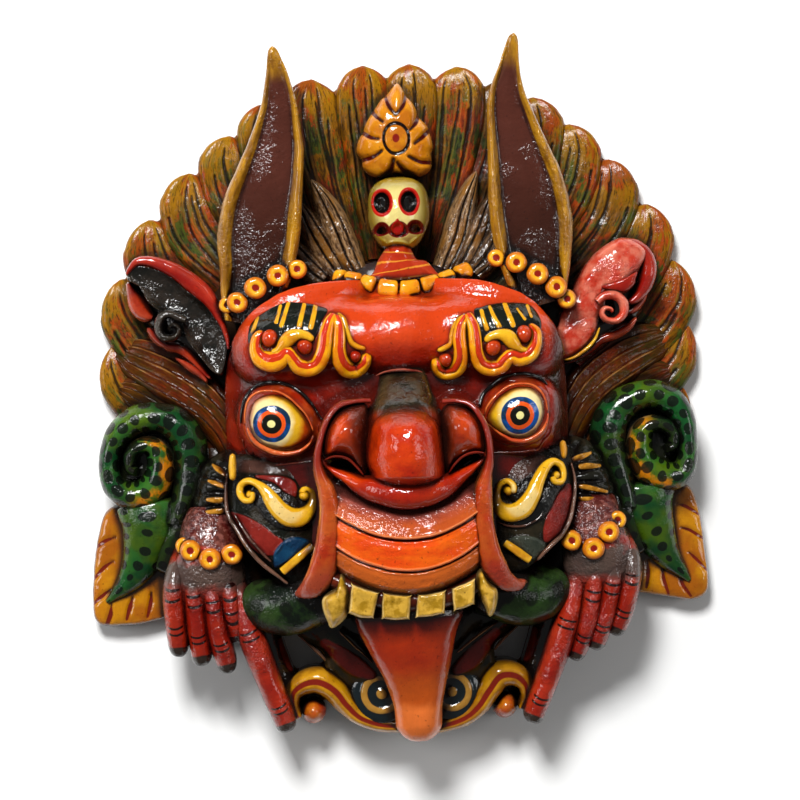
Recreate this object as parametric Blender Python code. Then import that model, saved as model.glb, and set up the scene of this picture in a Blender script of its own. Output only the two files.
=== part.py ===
# Carved and painted wooden wall mask: a horned, fanged face that bites two serpents.
# The mask lies on its flat back. +Z is the way the face looks, +Y is towards the crown.
# The origin is under the middle of the outline, on the flat back.

import math

import bpy
import bmesh
from mathutils import Matrix, Vector

# Driving dimensions in metres
MASK_HEIGHT = 0.344
FAN_THICKNESS = 0.012
FEATHER_RELIEF = 0.008
FIN_THICKNESS = 0.014
HOLLOW_WIDTH = 0.112
HOLLOW_HEIGHT = 0.118
HOLLOW_DEPTH = 0.040
BEAD_DIAMETER = 0.0105
BEAD_RISE = 0.004
HORN_TIP_HEIGHT = 0.072
NOSE_HEIGHT = 0.120
LIP_HEIGHT = 0.097
TOOTH_LENGTH = 0.019
FANG_LENGTH = 0.030
TONGUE_HALF_WIDTH = 0.026
SNAKE_HALF_WIDTH = 0.0085
FINGER_WIDTH = 0.0115
SOCKET_DIAMETER = 0.011
CARVING_GRAIN = 0.0016
SURFACE_FACES = 8400

# The free carving is laid out in shares: one share is one part in 344 of the mask's height
SHARES = 344.0
SHARE = MASK_HEIGHT / SHARES

# How far the carved forms run past the flat back before it is sawn off, in shares
SAW_ALLOWANCE = 3.0

# Fan of feathers, in shares
FAN_CENTRE = (0.0, 5.0)
FEATHER_ROOT = 62.0

# The two sides are carved by hand, so each keeps its own places
LEFT = {
    "side": -1,
    "feathers": 9,
    "feather_step": 10.1,
    "feather_reach": (158.5, 152.3),
    "fin_drop": 0.0,
    "horn_tip": (-56.0, 167.5),
    "ear_tip": (-133.0, 57.0),
    "ear_top": (-118.0, 71.0),
    "eye": (-61.0, -13.0),
    "coil": (-125.0, -31.0),
    "wrist": (-95.0, -66.0),
    "knuckles": (-98.0, -98.0),
    "finger_ends": ((-114.0, -124.0), (-103.0, -128.0), (-90.0, -133.0)),
    "index": ((-83.0, -106.0), (-76.0, -137.0), (-69.0, -151.0), (-60.5, -166.0)),
}
RIGHT = {
    "side": 1,
    "feathers": 10,
    "feather_step": 8.2,
    "feather_reach": (160.5, 153.0),
    "fin_drop": 4.5,
    "horn_tip": (59.0, 171.0),
    "ear_tip": (129.0, 60.0),
    "ear_top": (114.0, 74.0),
    "eye": (57.5, -12.0),
    "coil": (123.0, -27.0),
    "wrist": (93.0, -62.0),
    "knuckles": (98.0, -95.0),
    "finger_ends": ((109.0, -121.0), (99.0, -127.0), (89.0, -132.0)),
    "index": ((84.0, -110.0), (76.0, -139.0), (68.0, -153.0), (60.0, -165.0)),
}


def shares(length):
    # A length in metres as a number of shares
    return length / SHARE


def mix(a, b, t):
    return a + (b - a) * t


def smooth_path(points, steps):
    # Catmull-Rom curve through rows of numbers, so widths and heights blend as places do
    rows = []
    last = len(points) - 1
    for i in range(last):
        p0 = points[max(i - 1, 0)]
        p1 = points[i]
        p2 = points[i + 1]
        p3 = points[min(i + 2, last)]
        for k in range(steps):
            t = k / steps
            row = []
            for a, b, c, d in zip(p0, p1, p2, p3):
                value = 2 * b + (c - a) * t
                value += (2 * a - 5 * b + 4 * c - d) * t * t
                value += (3 * b - a - 3 * c + d) * t * t * t
                row.append(value / 2)
            rows.append(tuple(row))
    rows.append(tuple(points[last]))
    return rows


def close_loft(bm, rings):
    # Joins rings of equal count and closes both ends with a fan
    loops = [[bm.verts.new(point) for point in ring] for ring in rings]
    count = len(loops[0])
    for lower, upper in zip(loops, loops[1:]):
        for i in range(count):
            j = (i + 1) % count
            bm.faces.new((lower[i], lower[j], upper[j], upper[i]))
    for loop, flip in ((loops[0], True), (loops[-1], False)):
        middle = Vector((0.0, 0.0, 0.0))
        for vert in loop:
            middle += vert.co
        hub = bm.verts.new(middle / count)
        for i in range(count):
            j = (i + 1) % count
            if flip:
                bm.faces.new((hub, loop[j], loop[i]))
            else:
                bm.faces.new((hub, loop[i], loop[j]))


def sweep(bm, stations, sides=10, squareness=2.0):
    # Solid along rows of (x, y, z, half width, half height); the width stays level
    rings = []
    last = len(stations) - 1
    for i, (x, y, z, half_width, half_height) in enumerate(stations):
        ahead = Vector(stations[min(i + 1, last)][:3])
        behind = Vector(stations[max(i - 1, 0)][:3])
        along = (ahead - behind).normalized()
        across = along.cross(Vector((0.0, 0.0, 1.0))).normalized()
        lift = across.cross(along)
        ring = []
        for k in range(sides):
            angle = math.tau * k / sides
            c = math.cos(angle)
            s = math.sin(angle)
            power = 2.0 / squareness
            width = half_width * math.copysign(abs(c) ** power, c)
            height = half_height * math.copysign(abs(s) ** power, s)
            ring.append(Vector((x, y, z)) + across * width + lift * height)
        rings.append(ring)
    close_loft(bm, rings)


def relief(bm, stations, section, keel=1.0):
    # Carved strip along rows of (x, y, edge height, half width, rise, floor if it isn't the back)
    # The section gives the share of the rise across the strip, the keel the share of its width below
    rings = []
    last = len(stations) - 1
    samples = len(section) - 1
    for i, row in enumerate(stations):
        x, y, edge, half_width, rise = row[:5]
        base = row[5] if len(row) > 5 else -SAW_ALLOWANCE
        ahead = stations[min(i + 1, last)]
        behind = stations[max(i - 1, 0)]
        along = Vector((ahead[0] - behind[0], ahead[1] - behind[1], 0.0)).normalized()
        across = Vector((along.y, -along.x, 0.0))
        ring = []
        for k, share in enumerate(section):
            offset = half_width * (2.0 * k / samples - 1.0)
            ring.append(Vector((x, y, edge + rise * share)) + across * offset)
        ring.append(Vector((x, y, base)) + across * half_width * keel)
        ring.append(Vector((x, y, base)) - across * half_width * keel)
        rings.append(ring)
    close_loft(bm, rings)


def blob(bm, centre, radii, turn=0.0):
    # Ellipsoid, turned about Z by degrees
    place = Matrix.Translation(centre) @ Matrix.Rotation(math.radians(turn), 4, "Z")
    place = place @ Matrix.Diagonal((*radii, 1.0))
    bmesh.ops.create_icosphere(bm, subdivisions=3, radius=1.0, matrix=place)


def drum(bm, centre, radii, low, high, crown=0.0, squareness=2.0, sides=24):
    # Upright block with an oval outline and a crowned top
    rings = []
    for level, reach in ((low, 1.0), (high, 1.0), (high + crown * 0.7, 0.7), (high + crown, 0.3)):
        ring = []
        for k in range(sides):
            angle = math.tau * k / sides
            c = math.cos(angle)
            s = math.sin(angle)
            power = 2.0 / squareness
            x = centre[0] + radii[0] * reach * math.copysign(abs(c) ** power, c)
            y = centre[1] + radii[1] * reach * math.copysign(abs(s) ** power, s)
            ring.append(Vector((x, y, level)))
        rings.append(ring)
    close_loft(bm, rings)


def curl_path(centre, outer, inner, start, turns, top, widths, heights, rows=12):
    # Volute: winds in from the outer to the inner radius; angles in degrees, turns signed
    stations = []
    for i in range(rows + 1):
        t = i / rows
        angle = math.radians(start + 360.0 * turns * t)
        radius = mix(outer, inner, t ** 0.8)
        x = centre[0] + radius * math.cos(angle)
        y = centre[1] + radius * math.sin(angle)
        width = mix(widths[0], widths[1], t)
        height = mix(heights[0], heights[1], t)
        stations.append((x, y, top, width, height))
    return stations


CROWNED = (0.0, 0.62, 0.9, 1.0, 0.9, 0.62, 0.0)
RIBBED = (0.0, 0.75, 0.85, 0.6, 1.0, 0.6, 0.85, 0.75, 0.0)
RIMMED = (0.55, 1.0, 0.45, 0.3, 0.3, 0.45, 1.0, 0.55)


def fan_angle(sign, index):
    # Degrees from the crown line; the feathers are closer together at the top
    return 4.2 + sign["feather_step"] * index + 0.032 * index ** 3


def add_feather(bm, sign, index):
    # One feather of the fan, its rounded tip turned up towards the crown
    cx, cy = FAN_CENTRE
    side = sign["side"]
    thickness = shares(FAN_THICKNESS)
    angle = math.radians(fan_angle(sign, index))
    at_crown, at_side = sign["feather_reach"]
    reach = mix(at_crown, at_side, min(1.6 * math.sin(angle), 1.0)) - 0.008 * index ** 3
    half = mix(12.4, 16.5, index / (sign["feathers"] - 1))
    bend = 0.17 * math.sin(angle)
    rows = []
    for share, width, lift in ((0.0, 0.35, 0.3), (0.35, 0.62, 0.7), (0.7, 0.94, 1.0),
                               (0.87, 1.0, 1.0), (0.96, 0.74, 0.7), (1.0, 0.34, 0.4)):
        radius = mix(FEATHER_ROOT, reach, share)
        turn = angle + bend * (1.0 - share)
        slip = -0.3 * half * math.sin(angle) * share ** 6
        x = cx + side * (radius * math.sin(turn) + slip * math.cos(turn))
        y = cy + radius * math.cos(turn) - slip * math.sin(turn)
        rows.append((x, y, thickness * 0.6, half * width, shares(FEATHER_RELIEF) * lift))
    relief(bm, smooth_path(rows, 2), RIBBED)


def add_fan(bm, sign):
    # Feathers, the short leaves beside the skull and the long plumes over the temples
    side = sign["side"]
    cx, cy = FAN_CENTRE
    thickness = shares(FAN_THICKNESS)
    for index in range(sign["feathers"]):
        add_feather(bm, sign, index)
    for index in range(4):
        angle = math.radians(13.0 + 7.5 * index)
        rows = []
        for share, width in ((0.0, 0.6), (0.5, 1.0), (0.85, 0.75), (1.0, 0.2)):
            radius = mix(45.0, 102.0 - 6.0 * index, share)
            x = cx + side * radius * math.sin(angle)
            y = cy + radius * math.cos(angle)
            rows.append((x, y, thickness + 4.0, 7.5 * width, shares(FEATHER_RELIEF)))
        relief(bm, smooth_path(rows, 3), CROWNED)
    for index in range(3):
        spread = 9.0 * index
        rows = (
            (side * (144.0 - spread * 0.3), 14.0 - spread, 13.0, 9.0, 3.0),
            (side * (122.0 - spread * 0.4), 9.0 - spread, 15.0, 8.0, 7.0),
            (side * (103.0 - spread * 0.5), -3.0 - spread, 17.0, 6.0, 8.0),
            (side * (90.0 - spread * 0.2), -21.0 - spread * 0.4, 20.0, 4.0, 6.0),
        )
        relief(bm, smooth_path(rows, 4), CROWNED)


def add_horn(bm, sign):
    # Hollow-fronted horn with a raised rim down both edges
    side = sign["side"]
    tip_x, tip_y = sign["horn_tip"]
    top = shares(HORN_TIP_HEIGHT)
    rows = (
        (side * 70.0, 38.0, 48.0, 15.0, 8.0, 0.0),
        (side * 70.0, 62.0, 50.0, 18.0, 8.0, 0.0),
        (side * 67.0, 80.0, 53.0, 19.5, 7.0, 4.0),
        (side * 61.5, 101.0, 57.0, 16.5, 6.0, 14.0),
        (side * 55.5, 122.0, 60.0, 11.0, 5.0, 27.0),
        (side * 54.5, 141.0, mix(60.0, top, 0.4), 7.0, 4.0, 40.0),
        (mix(side * 54.5, tip_x, 0.7), mix(141.0, tip_y, 0.7), mix(60.0, top, 0.8), 3.6, 2.0, 54.0),
        (tip_x, tip_y, top, 1.2, 0.6, top - 5.0),
    )
    relief(bm, smooth_path(rows, 3), RIMMED, keel=0.5)
    # Band of beads round the foot of the horn
    radius = shares(BEAD_DIAMETER) / 2.0
    for share in (0.0, 0.25, 0.5, 0.75, 1.0):
        bow = 4.0 * share * (1.0 - share)
        centre = (side * mix(49.0, 81.5, share), mix(61.0, 42.0, share) + 2.0 * bow)
        add_bead(bm, centre, 52.0 + 8.0 * bow, radius)


def add_bead(bm, centre, height, radius):
    rise = shares(BEAD_RISE)
    drum(bm, centre, (radius, radius), height - 14.0, height + rise, crown=1.0, sides=12)


def add_crown(bm):
    # Skull on a flared collar, with a flame-edged jewel behind it
    rows = ((0.5, 96.0, 26.0, 14.0, 8.0), (1.0, 118.0, 26.0, 19.0, 10.0),
            (1.0, 136.0, 25.0, 12.5, 9.0), (1.0, 146.0, 24.0, 7.0, 7.0), (1.0, 153.0, 22.0, 1.5, 3.0))
    relief(bm, smooth_path(rows, 3), CROWNED)
    drum(bm, (2.0, 124.0), (7.5, 7.5), 20.0, 37.0, crown=1.5, sides=16)
    blob(bm, (1.5, 91.0, 40.0), (16.0, 14.0, 19.0))
    blob(bm, (1.5, 78.0, 40.0), (12.0, 11.0, 16.0))
    rows = ((1.5, 82.0, 30.0, 9.0, 12.0), (1.5, 66.0, 36.0, 10.0, 14.0), (1.5, 54.0, 42.0, 22.0, 16.0))
    sweep(bm, smooth_path(rows, 3), sides=14)
    rows = ((-31.0, 57.0, 50.0, 3.5, 5.0), (-16.0, 53.0, 55.0, 4.5, 6.0), (2.0, 50.5, 57.0, 4.5, 6.0),
            (21.0, 53.0, 55.0, 4.5, 6.0), (38.0, 60.0, 50.0, 3.5, 5.0))
    sweep(bm, smooth_path(rows, 4), sides=10)


def add_ear(bm, sign):
    # Leaf-shaped ear with a thick rim, a small curl below and pointed petals
    side = sign["side"]
    tip_x, tip_y = sign["ear_tip"]
    top_x, top_y = sign["ear_top"]
    rows = (
        (side * 82.0, 22.0, 26.0, 12.0, 12.0),
        (side * 96.0, 38.0, 30.0, 17.0, 13.0),
        (mix(side * 96.0, top_x, 0.8), mix(38.0, top_y, 0.45), 30.0, 17.0, 12.0),
        (mix(top_x, tip_x, 0.6), mix(top_y, tip_y, 0.9), 26.0, 11.0, 9.0),
        (tip_x, tip_y, 22.0, 3.0, 4.0),
    )
    relief(bm, smooth_path(rows, 4), (0.75, 1.0, 0.6, 0.45, 0.55, 0.8, 0.6))
    sweep(bm, curl_path((side * 107.0, 34.0), 8.0, 2.5, 90.0, side * -1.2, 38.0, (4.0, 2.5), (9.0, 10.0)), sides=8)
    for x, y, reach in ((121.0, 41.0, 10.0), (113.0, 26.0, 9.0), (96.0, 14.0, 12.0)):
        rows = ((side * (x - reach), y - 3.0, 22.0, 5.0, 6.0), (side * x, y - 2.0, 22.0, 5.5, 6.0),
                (side * (x + reach * 0.7), y + 4.0, 20.0, 1.0, 2.0))
        relief(bm, smooth_path(rows, 3), CROWNED)


def soft_max(a, b, blend):
    # The higher of two heights, with the crease between them rounded
    h = max(blend - abs(a - b), 0.0) / blend
    return max(a, b) + h * h * blend / 4.0


def face_profile(y):
    # Height of the face's middle line before the features are raised on it
    rows = ((-104.0, 44.0), (-92.0, 57.0), (-70.0, 62.0), (-40.0, 62.0), (-10.0, 63.0),
            (8.0, 67.0), (22.0, 71.0), (36.0, 68.0), (46.0, 60.0), (54.0, 50.0), (62.0, 38.0))
    if y <= rows[0][0]:
        return rows[0][1]
    for (y0, z0), (y1, z1) in zip(rows, rows[1:]):
        if y <= y1:
            t = (y - y0) / (y1 - y0)
            return mix(z0, z1, t * t * (3.0 - 2.0 * t))
    return rows[-1][1]


def face_masses():
    # Rounded masses of the face: place, half sizes, foot, top, turn, squareness, blend
    nose = shares(NOSE_HEIGHT)
    lip = shares(LIP_HEIGHT)
    masses = [
        ((0.0, 27.0), (34.0, 17.0), 56.0, 81.0, 0.0, 2.0, 8.0),
        ((0.0, 3.0), (12.0, 18.0), 60.0, 88.0, 0.0, 2.0, 3.0),
        ((0.0, -66.0), (38.0, 30.0), 62.0, lip, 0.0, 3.2, 2.0),
        ((0.0, -48.0), (33.0, 13.0), 66.0, lip + 2.0, 0.0, 2.6, 1.5),
        ((0.0, -29.0), (20.5, 25.5), 70.0, nose, 0.0, 2.0, 1.5),
    ]
    for side in (-1, 1):
        masses.append(((side * 42.0, 24.0), (38.0, 20.0), 54.0, 79.0, side * -8.0, 2.4, 6.0))
        masses.append(((side * 46.0, 46.0), (34.0, 14.0), 44.0, 66.0, side * -12.0, 2.0, 6.0))
        masses.append(((side * 59.0, -13.0), (21.0, 20.0), 56.0, 77.0, 0.0, 2.0, 3.0))
        masses.append(((side * 59.0, -13.0), (17.0, 16.0), 56.0, 82.0, 0.0, 2.0, 1.0))
        masses.append(((side * 30.0, -24.0), (11.5, 19.0), 66.0, 104.0, side * 14.0, 2.2, 1.5))
        masses.append(((side * 61.0, -62.0), (23.0, 22.0), 52.0, 70.0, side * -30.0, 2.0, 2.5))
    return masses


def face_height(x, y, masses):
    height = face_profile(y) - 24.0 * abs(x / 84.0) ** 4
    for centre, radii, foot, top, turn, squareness, blend in masses:
        angle = math.radians(turn)
        dx = x - centre[0]
        dy = y - centre[1]
        u = abs(dx * math.cos(angle) + dy * math.sin(angle)) / radii[0]
        v = abs(dy * math.cos(angle) - dx * math.sin(angle)) / radii[1]
        inside = 1.0 - u ** squareness - v ** squareness
        if inside > 0.0:
            height = soft_max(height, foot + (top - foot) * math.sqrt(inside), blend)
    return height


def add_face(bm, masses):
    # One block with a rounded square outline, crowned by the face's own height
    sides = 96
    rings = []
    floor = []
    for reach_share in range(24, 0, -1):
        reach = reach_share / 24.0
        ring = []
        for k in range(sides):
            angle = math.tau * k / sides
            c = math.cos(angle)
            s = math.sin(angle)
            x = 83.0 * reach * math.copysign(abs(c) ** 0.6, c)
            y = -22.0 + 76.0 * reach * math.copysign(abs(s) ** 0.6, s)
            ring.append(Vector((x, y, face_height(x, y, masses))))
            if reach_share == 24:
                floor.append(Vector((x, y, -SAW_ALLOWANCE)))
        rings.append(ring)
    close_loft(bm, [floor] + rings)


def add_brow(bm, side, masses):
    # Row of curls over each eye, rising to a peak in the middle
    rows = []
    for x, y, width in ((69.0, 27.0, 3.4), (68.0, 17.0, 3.6), (59.0, 13.0, 3.8), (52.0, 19.0, 3.8),
                        (44.0, 11.0, 3.8), (36.0, 15.0, 3.8), (33.0, 29.0, 3.8), (32.0, 37.0, 2.6)):
        rows.append((side * x, y, face_height(side * x, y, masses) + 1.0, width, 5.0))
    sweep(bm, smooth_path(rows, 3), sides=8)
    rows = []
    for x, y, width in ((31.0, 37.0, 2.6), (27.0, 30.0, 3.6), (20.0, 24.0, 3.6), (15.0, 15.0, 3.4), (20.0, 9.0, 3.4)):
        rows.append((side * x, y, face_height(side * x, y, masses) + 1.0, width, 5.0))
    sweep(bm, smooth_path(rows, 3), sides=8)
    for x, y in ((61.0, 25.0), (44.0, 22.0), (23.0, 15.0)):
        height = face_height(side * x, y, masses)
        blob(bm, (side * x, y, height), (4.6, 4.6, 5.0))


def add_eye(bm, sign):
    # Bulging eyeball inside a round lid
    x, y = sign["eye"]
    rows = []
    for k in range(25):
        angle = math.tau * k / 24
        rows.append((x + 17.5 * math.cos(angle), y + 16.5 * math.sin(angle), 71.0, 2.4, 5.0))
    sweep(bm, rows, sides=8)


def add_nostril_fold(bm, side):
    # Raised fold that frames the nose wing and runs down beside the lip
    rows = ((26.0, -4.0, 84.0, 3.0, 8.0), (37.0, -12.0, 86.0, 3.5, 9.0), (40.5, -28.0, 85.0, 3.8, 10.0),
            (39.0, -44.0, 82.0, 4.5, 11.0), (39.5, -62.0, 78.0, 5.5, 11.0), (44.0, -80.0, 72.0, 6.0, 11.0),
            (53.0, -91.0, 64.0, 3.5, 8.0))
    sweep(bm, smooth_path([(side * r[0],) + r[1:] for r in rows], 3), sides=10)
    # Lip band between the two ends of the gum
    rows = ((30.0, -88.0, 78.0, 5.0, 9.0), (15.0, -93.0, 82.0, 5.0, 9.0), (0.0, -95.0, 83.0, 5.0, 9.0))
    sweep(bm, [(side * r[0],) + r[1:] for r in rows], sides=10)


def add_mouth(bm):
    # Four broad teeth between two fangs, and the long tongue
    length = shares(TOOTH_LENGTH)
    for x, width in ((-19.5, 7.0), (-3.0, 7.2), (14.0, 7.2), (28.0, 5.6)):
        gum = -90.0 - 3.5 * math.cos(x / 22.0)
        rows = ((x, gum, 80.0, width * 0.9, 9.0), (x, gum - length * 0.5, 81.0, width, 9.0),
                (x, gum - length * 0.92, 80.0, width * 0.96, 8.5), (x, gum - length, 79.0, width * 0.7, 7.0))
        sweep(bm, rows, sides=12, squareness=4.0)
    fang = shares(FANG_LENGTH)
    for side in (-1, 1):
        x = side * 36.0
        rows = ((x, -84.0, 74.0, 6.5, 11.0), (x + side * 2.0, -84.0 - fang * 0.5, 74.0, 6.2, 9.0),
                (x + side * 1.5, -84.0 - fang * 0.85, 72.0, 3.6, 6.0), (x, -84.0 - fang, 70.0, 1.2, 2.5))
        sweep(bm, smooth_path(rows, 3), sides=10)
    wide = shares(TONGUE_HALF_WIDTH)
    rows = ((1.0, -96.0, 62.0, wide, 14.0, 20.0), (1.0, -111.0, 64.0, wide, 12.0, 20.0),
            (2.0, -126.0, 58.0, wide * 0.84, 11.0, 20.0), (3.0, -141.0, 52.0, wide * 0.62, 10.0, 22.0),
            (4.0, -153.0, 47.0, wide * 0.5, 10.0, 26.0), (4.0, -163.0, 43.0, wide * 0.43, 9.0, 30.0),
            (4.0, -170.5, 41.0, wide * 0.26, 5.0, 33.0))
    relief(bm, smooth_path(rows, 3), CROWNED)


def add_jaw(bm):
    # Lower jaw with two round bosses and a rolled curl at each corner
    drum(bm, (0.0, -112.0), (47.0, 26.0), -SAW_ALLOWANCE, 44.0, crown=3.0, squareness=2.6, sides=32)
    drum(bm, (1.0, -148.0), (40.0, 20.0), -SAW_ALLOWANCE, 26.0, crown=5.0, squareness=2.4, sides=32)
    for side in (-1, 1):
        drum(bm, (side * 19.0, -150.0), (14.0, 13.0), 0.0, 33.0, crown=3.0, sides=20)
        rows = ((side * 34.0, -112.0, 34.0, 7.5, 11.0), (side * 39.0, -124.0, 31.0, 7.5, 10.0),
                (side * 34.0, -136.0, 28.0, 6.5, 9.0))
        sweep(bm, smooth_path(rows, 3), sides=10)
        rows = [(side * 20.0, -167.0, 22.0, 4.0, 12.0), (side * 31.0, -164.0, 24.0, 5.0, 12.0)]
        path = curl_path((side * 47.0, -154.0), 12.5, 7.0, 210.0 if side > 0 else -30.0, side * 0.8, 24.0,
                         (5.0, 4.5), (14.0, 12.0), rows=12)
        sweep(bm, smooth_path(rows + path[1:], 2), sides=8)
        blob(bm, (side * 47.0, -156.0, 24.0), (6.5, 6.5, 12.0))
        drum(bm, (side * 45.0, -153.0), (13.0, 12.5), -SAW_ALLOWANCE, 20.0, sides=20)


def add_cheek(bm, side):
    # Rounded cheek plate with the moustache curl and a leaf raised on it
    drum(bm, (side * 62.0, -60.0), (23.5, 31.0), -SAW_ALLOWANCE, 56.0, crown=6.0, squareness=2.2, sides=32)
    rows = ((side * 76.0, -44.0, 62.0, 3.0, 5.0), (side * 68.0, -42.0, 64.0, 3.0, 5.0),
            (side * 61.0, -52.0, 65.0, 3.2, 5.0), (side * 53.0, -60.0, 65.0, 3.4, 5.0),
            (side * 45.0, -56.0, 65.0, 3.2, 5.0), (side * 46.0, -48.0, 65.0, 3.0, 5.0))
    sweep(bm, smooth_path(rows, 4), sides=8)
    blob(bm, (side * 76.0, -46.0, 62.0), (5.0, 5.0, 6.0))
    rows = ((side * 44.0, -72.0, 50.0, 4.0, 8.0), (side * 56.0, -79.0, 50.0, 7.5, 12.0),
            (side * 66.0, -84.0, 46.0, 3.0, 8.0))
    relief(bm, smooth_path(rows, 3), CROWNED)


def add_serpent(bm, sign):
    # Coiled neck at the temple, its tail with a fin, and the part held in the mouth
    side = sign["side"]
    cx, cy = sign["coil"]
    wide = shares(SNAKE_HALF_WIDTH)
    drum(bm, (cx, cy), (24.0, 25.0), -SAW_ALLOWANCE, 26.0, sides=28)
    drum(bm, (cx, cy - 24.0), (20.0, 22.0), -SAW_ALLOWANCE, shares(FIN_THICKNESS) - 1.0, sides=24)
    path = []
    for i in range(31):
        t = i / 30
        angle = math.radians(-50.0 + 666.0 * t)
        radius = 3.0 + 18.0 * (1.0 - t ** 1.4)
        # The coil tightens towards the outside edge of the mask
        x = cx + side * (5.0 * t - radius * math.cos(angle))
        y = cy + radius * math.sin(angle)
        path.append((x, y, mix(24.0, 30.0, t), wide * mix(1.0, 0.5, t), mix(13.0, 9.0, t)))
    sweep(bm, path, sides=10)
    rows = ((side * 104.0, cy - 30.0, 24.0, wide * 1.6, 12.0), (side * 116.0, cy - 42.0, 24.0, wide * 1.7, 14.0),
            (side * 128.0, cy - 54.0, 22.0, wide * 1.1, 12.0), (side * 143.0, cy - 70.0, 18.0, wide * 0.3, 5.0))
    sweep(bm, smooth_path(rows, 3), sides=12)
    rows = ((side * 40.0, -99.0, 46.0, 10.0, 14.0), (side * 54.0, -108.0, 44.0, 13.0, 15.0),
            (side * 68.0, -110.0, 40.0, 13.5, 15.0), (side * 84.0, -102.0, 34.0, 13.0, 14.0))
    sweep(bm, smooth_path(rows, 3), sides=12)


def add_fin(bm, sign):
    # Two-pointed fin behind the hand, under the tail
    side = sign["side"]
    drop = sign["fin_drop"]
    edge = shares(FIN_THICKNESS) - 2.0
    rows = ((133.0, -47.0, 14.0), (139.0, -62.0, 13.0), (142.0, -86.0, 13.5), (144.5, -104.0, 11.5),
            (145.0, -112.0, 7.0))
    relief(bm, smooth_path([(side * x, y + drop, edge, half, 2.0) for x, y, half in rows], 3), CROWNED)
    rows = ((112.0, -90.0, 21.0), (132.0, -92.0, 20.0), (146.0, -97.0, 14.0))
    relief(bm, smooth_path([(side * x, y + drop, edge, half, 2.0) for x, y, half in rows], 3), CROWNED)


def add_hand(bm, sign):
    # Sleeve, back of the hand, beaded bracelet and fingers pointing down
    side = sign["side"]
    wrist_x, wrist_y = sign["wrist"]
    palm_x, palm_y = sign["knuckles"]
    wide = shares(FINGER_WIDTH) / 2.0
    drum(bm, (side * 95.0, -56.0), (21.0, 38.0), -SAW_ALLOWANCE, 30.0, crown=4.0, sides=28)
    rows = ((side * 93.0, -30.0, 28.0, 8.0, 14.0), (side * 95.0, -46.0, 32.0, 13.0, 16.0),
            (wrist_x, wrist_y, 36.0, 14.5, 16.0))
    sweep(bm, smooth_path(rows, 4), sides=14)
    rows = ((wrist_x, wrist_y + 4.0, 36.0, 14.0, 14.0), (wrist_x, wrist_y - 12.0, 38.0, 16.5, 16.0),
            (palm_x, palm_y, 36.0, 20.0, 15.0), (palm_x, palm_y - 14.0, 33.0, 19.0, 13.0))
    sweep(bm, smooth_path(rows, 4), sides=14, squareness=2.4)
    for end_x, end_y in sign["finger_ends"]:
        rows = ((mix(palm_x, end_x, 0.9), palm_y, 38.0, wide, 13.0), (end_x, mix(palm_y, end_y, 0.6), 35.0, wide, 13.0),
                (end_x, end_y + 4.0, 29.0, wide * 0.9, 11.0), (end_x, end_y, 27.0, wide * 0.5, 8.0))
        sweep(bm, smooth_path(rows, 3), sides=10)
    rows = []
    for (x, y), width, z in zip(sign["index"], (1.4, 1.25, 1.0, 0.6), (38.0, 33.0, 29.0, 25.0)):
        rows.append((x, y, z, wide * width, 12.0))
    sweep(bm, smooth_path(rows, 4), sides=10)
    radius = shares(BEAD_DIAMETER) / 2.0
    for share in (0.0, 0.36, 0.72):
        bow = 4.0 * share * (1.0 - share)
        x = wrist_x + side * mix(-10.5, 12.5, share)
        y = wrist_y + mix(-14.0, -8.5, share) - 2.5 * bow
        add_bead(bm, (x, y), 50.0 + 2.0 * bow, radius)


def add_backing(bm):
    # The board that the fan and the face stand on
    drum(bm, (0.0, 30.0), (135.0, 115.0), -SAW_ALLOWANCE, shares(FAN_THICKNESS) * 0.8, sides=48)


def carve(bm):
    masses = face_masses()
    add_backing(bm)
    add_crown(bm)
    add_face(bm, masses)
    add_mouth(bm)
    add_jaw(bm)
    for sign in (LEFT, RIGHT):
        side = sign["side"]
        add_fan(bm, sign)
        add_horn(bm, sign)
        add_ear(bm, sign)
        add_brow(bm, side, masses)
        add_eye(bm, sign)
        add_nostril_fold(bm, side)
        add_cheek(bm, side)
        add_serpent(bm, sign)
        add_fin(bm, sign)
        add_hand(bm, sign)


def add_hollow(bm):
    # Scooped hollow behind the face: steep sides and a flatter bottom
    half_width = shares(HOLLOW_WIDTH) / 2.0
    half_height = shares(HOLLOW_HEIGHT) / 2.0
    depth = shares(HOLLOW_DEPTH)
    sides = 40
    rings = []
    levels = [(-6.0, 1.0)]
    for step in range(9):
        angle = math.radians(88.0 * step / 8)
        levels.append((depth * math.sin(angle), math.cos(angle) ** 0.55))
    for level, reach in levels:
        ring = []
        for k in range(sides):
            angle = math.tau * k / sides
            c = math.cos(angle)
            s = math.sin(angle)
            x = half_width * reach * math.copysign(abs(c) ** 0.8, c)
            y = -24.0 + half_height * reach * math.copysign(abs(s) ** 0.8, s)
            ring.append(Vector((x, y, level)))
        rings.append(ring)
    close_loft(bm, rings)


def add_sockets(bm):
    # Sunk eyes of the skull
    radius = shares(SOCKET_DIAMETER) / 2.0
    for x in (-5.2, 8.6):
        blob(bm, (x, 92.0, 59.0), (radius, radius * 1.15, 7.0))


def add_saw(bm):
    # Everything under the flat back
    reach = SHARES
    place = Matrix.Translation((0.0, 0.0, -reach / 2.0)) @ Matrix.Diagonal((reach, reach * 1.2, reach, 1.0))
    bmesh.ops.create_cube(bm, size=1.0, matrix=place)


def make_object(name, build):
    bm = bmesh.new()
    build(bm)
    bmesh.ops.recalc_face_normals(bm, faces=bm.faces)
    bmesh.ops.scale(bm, vec=(SHARE, SHARE, SHARE), verts=bm.verts)
    mesh = bpy.data.meshes.new(name)
    bm.to_mesh(mesh)
    bm.free()
    obj = bpy.data.objects.new(name, mesh)
    bpy.context.scene.collection.objects.link(obj)
    return obj


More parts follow.
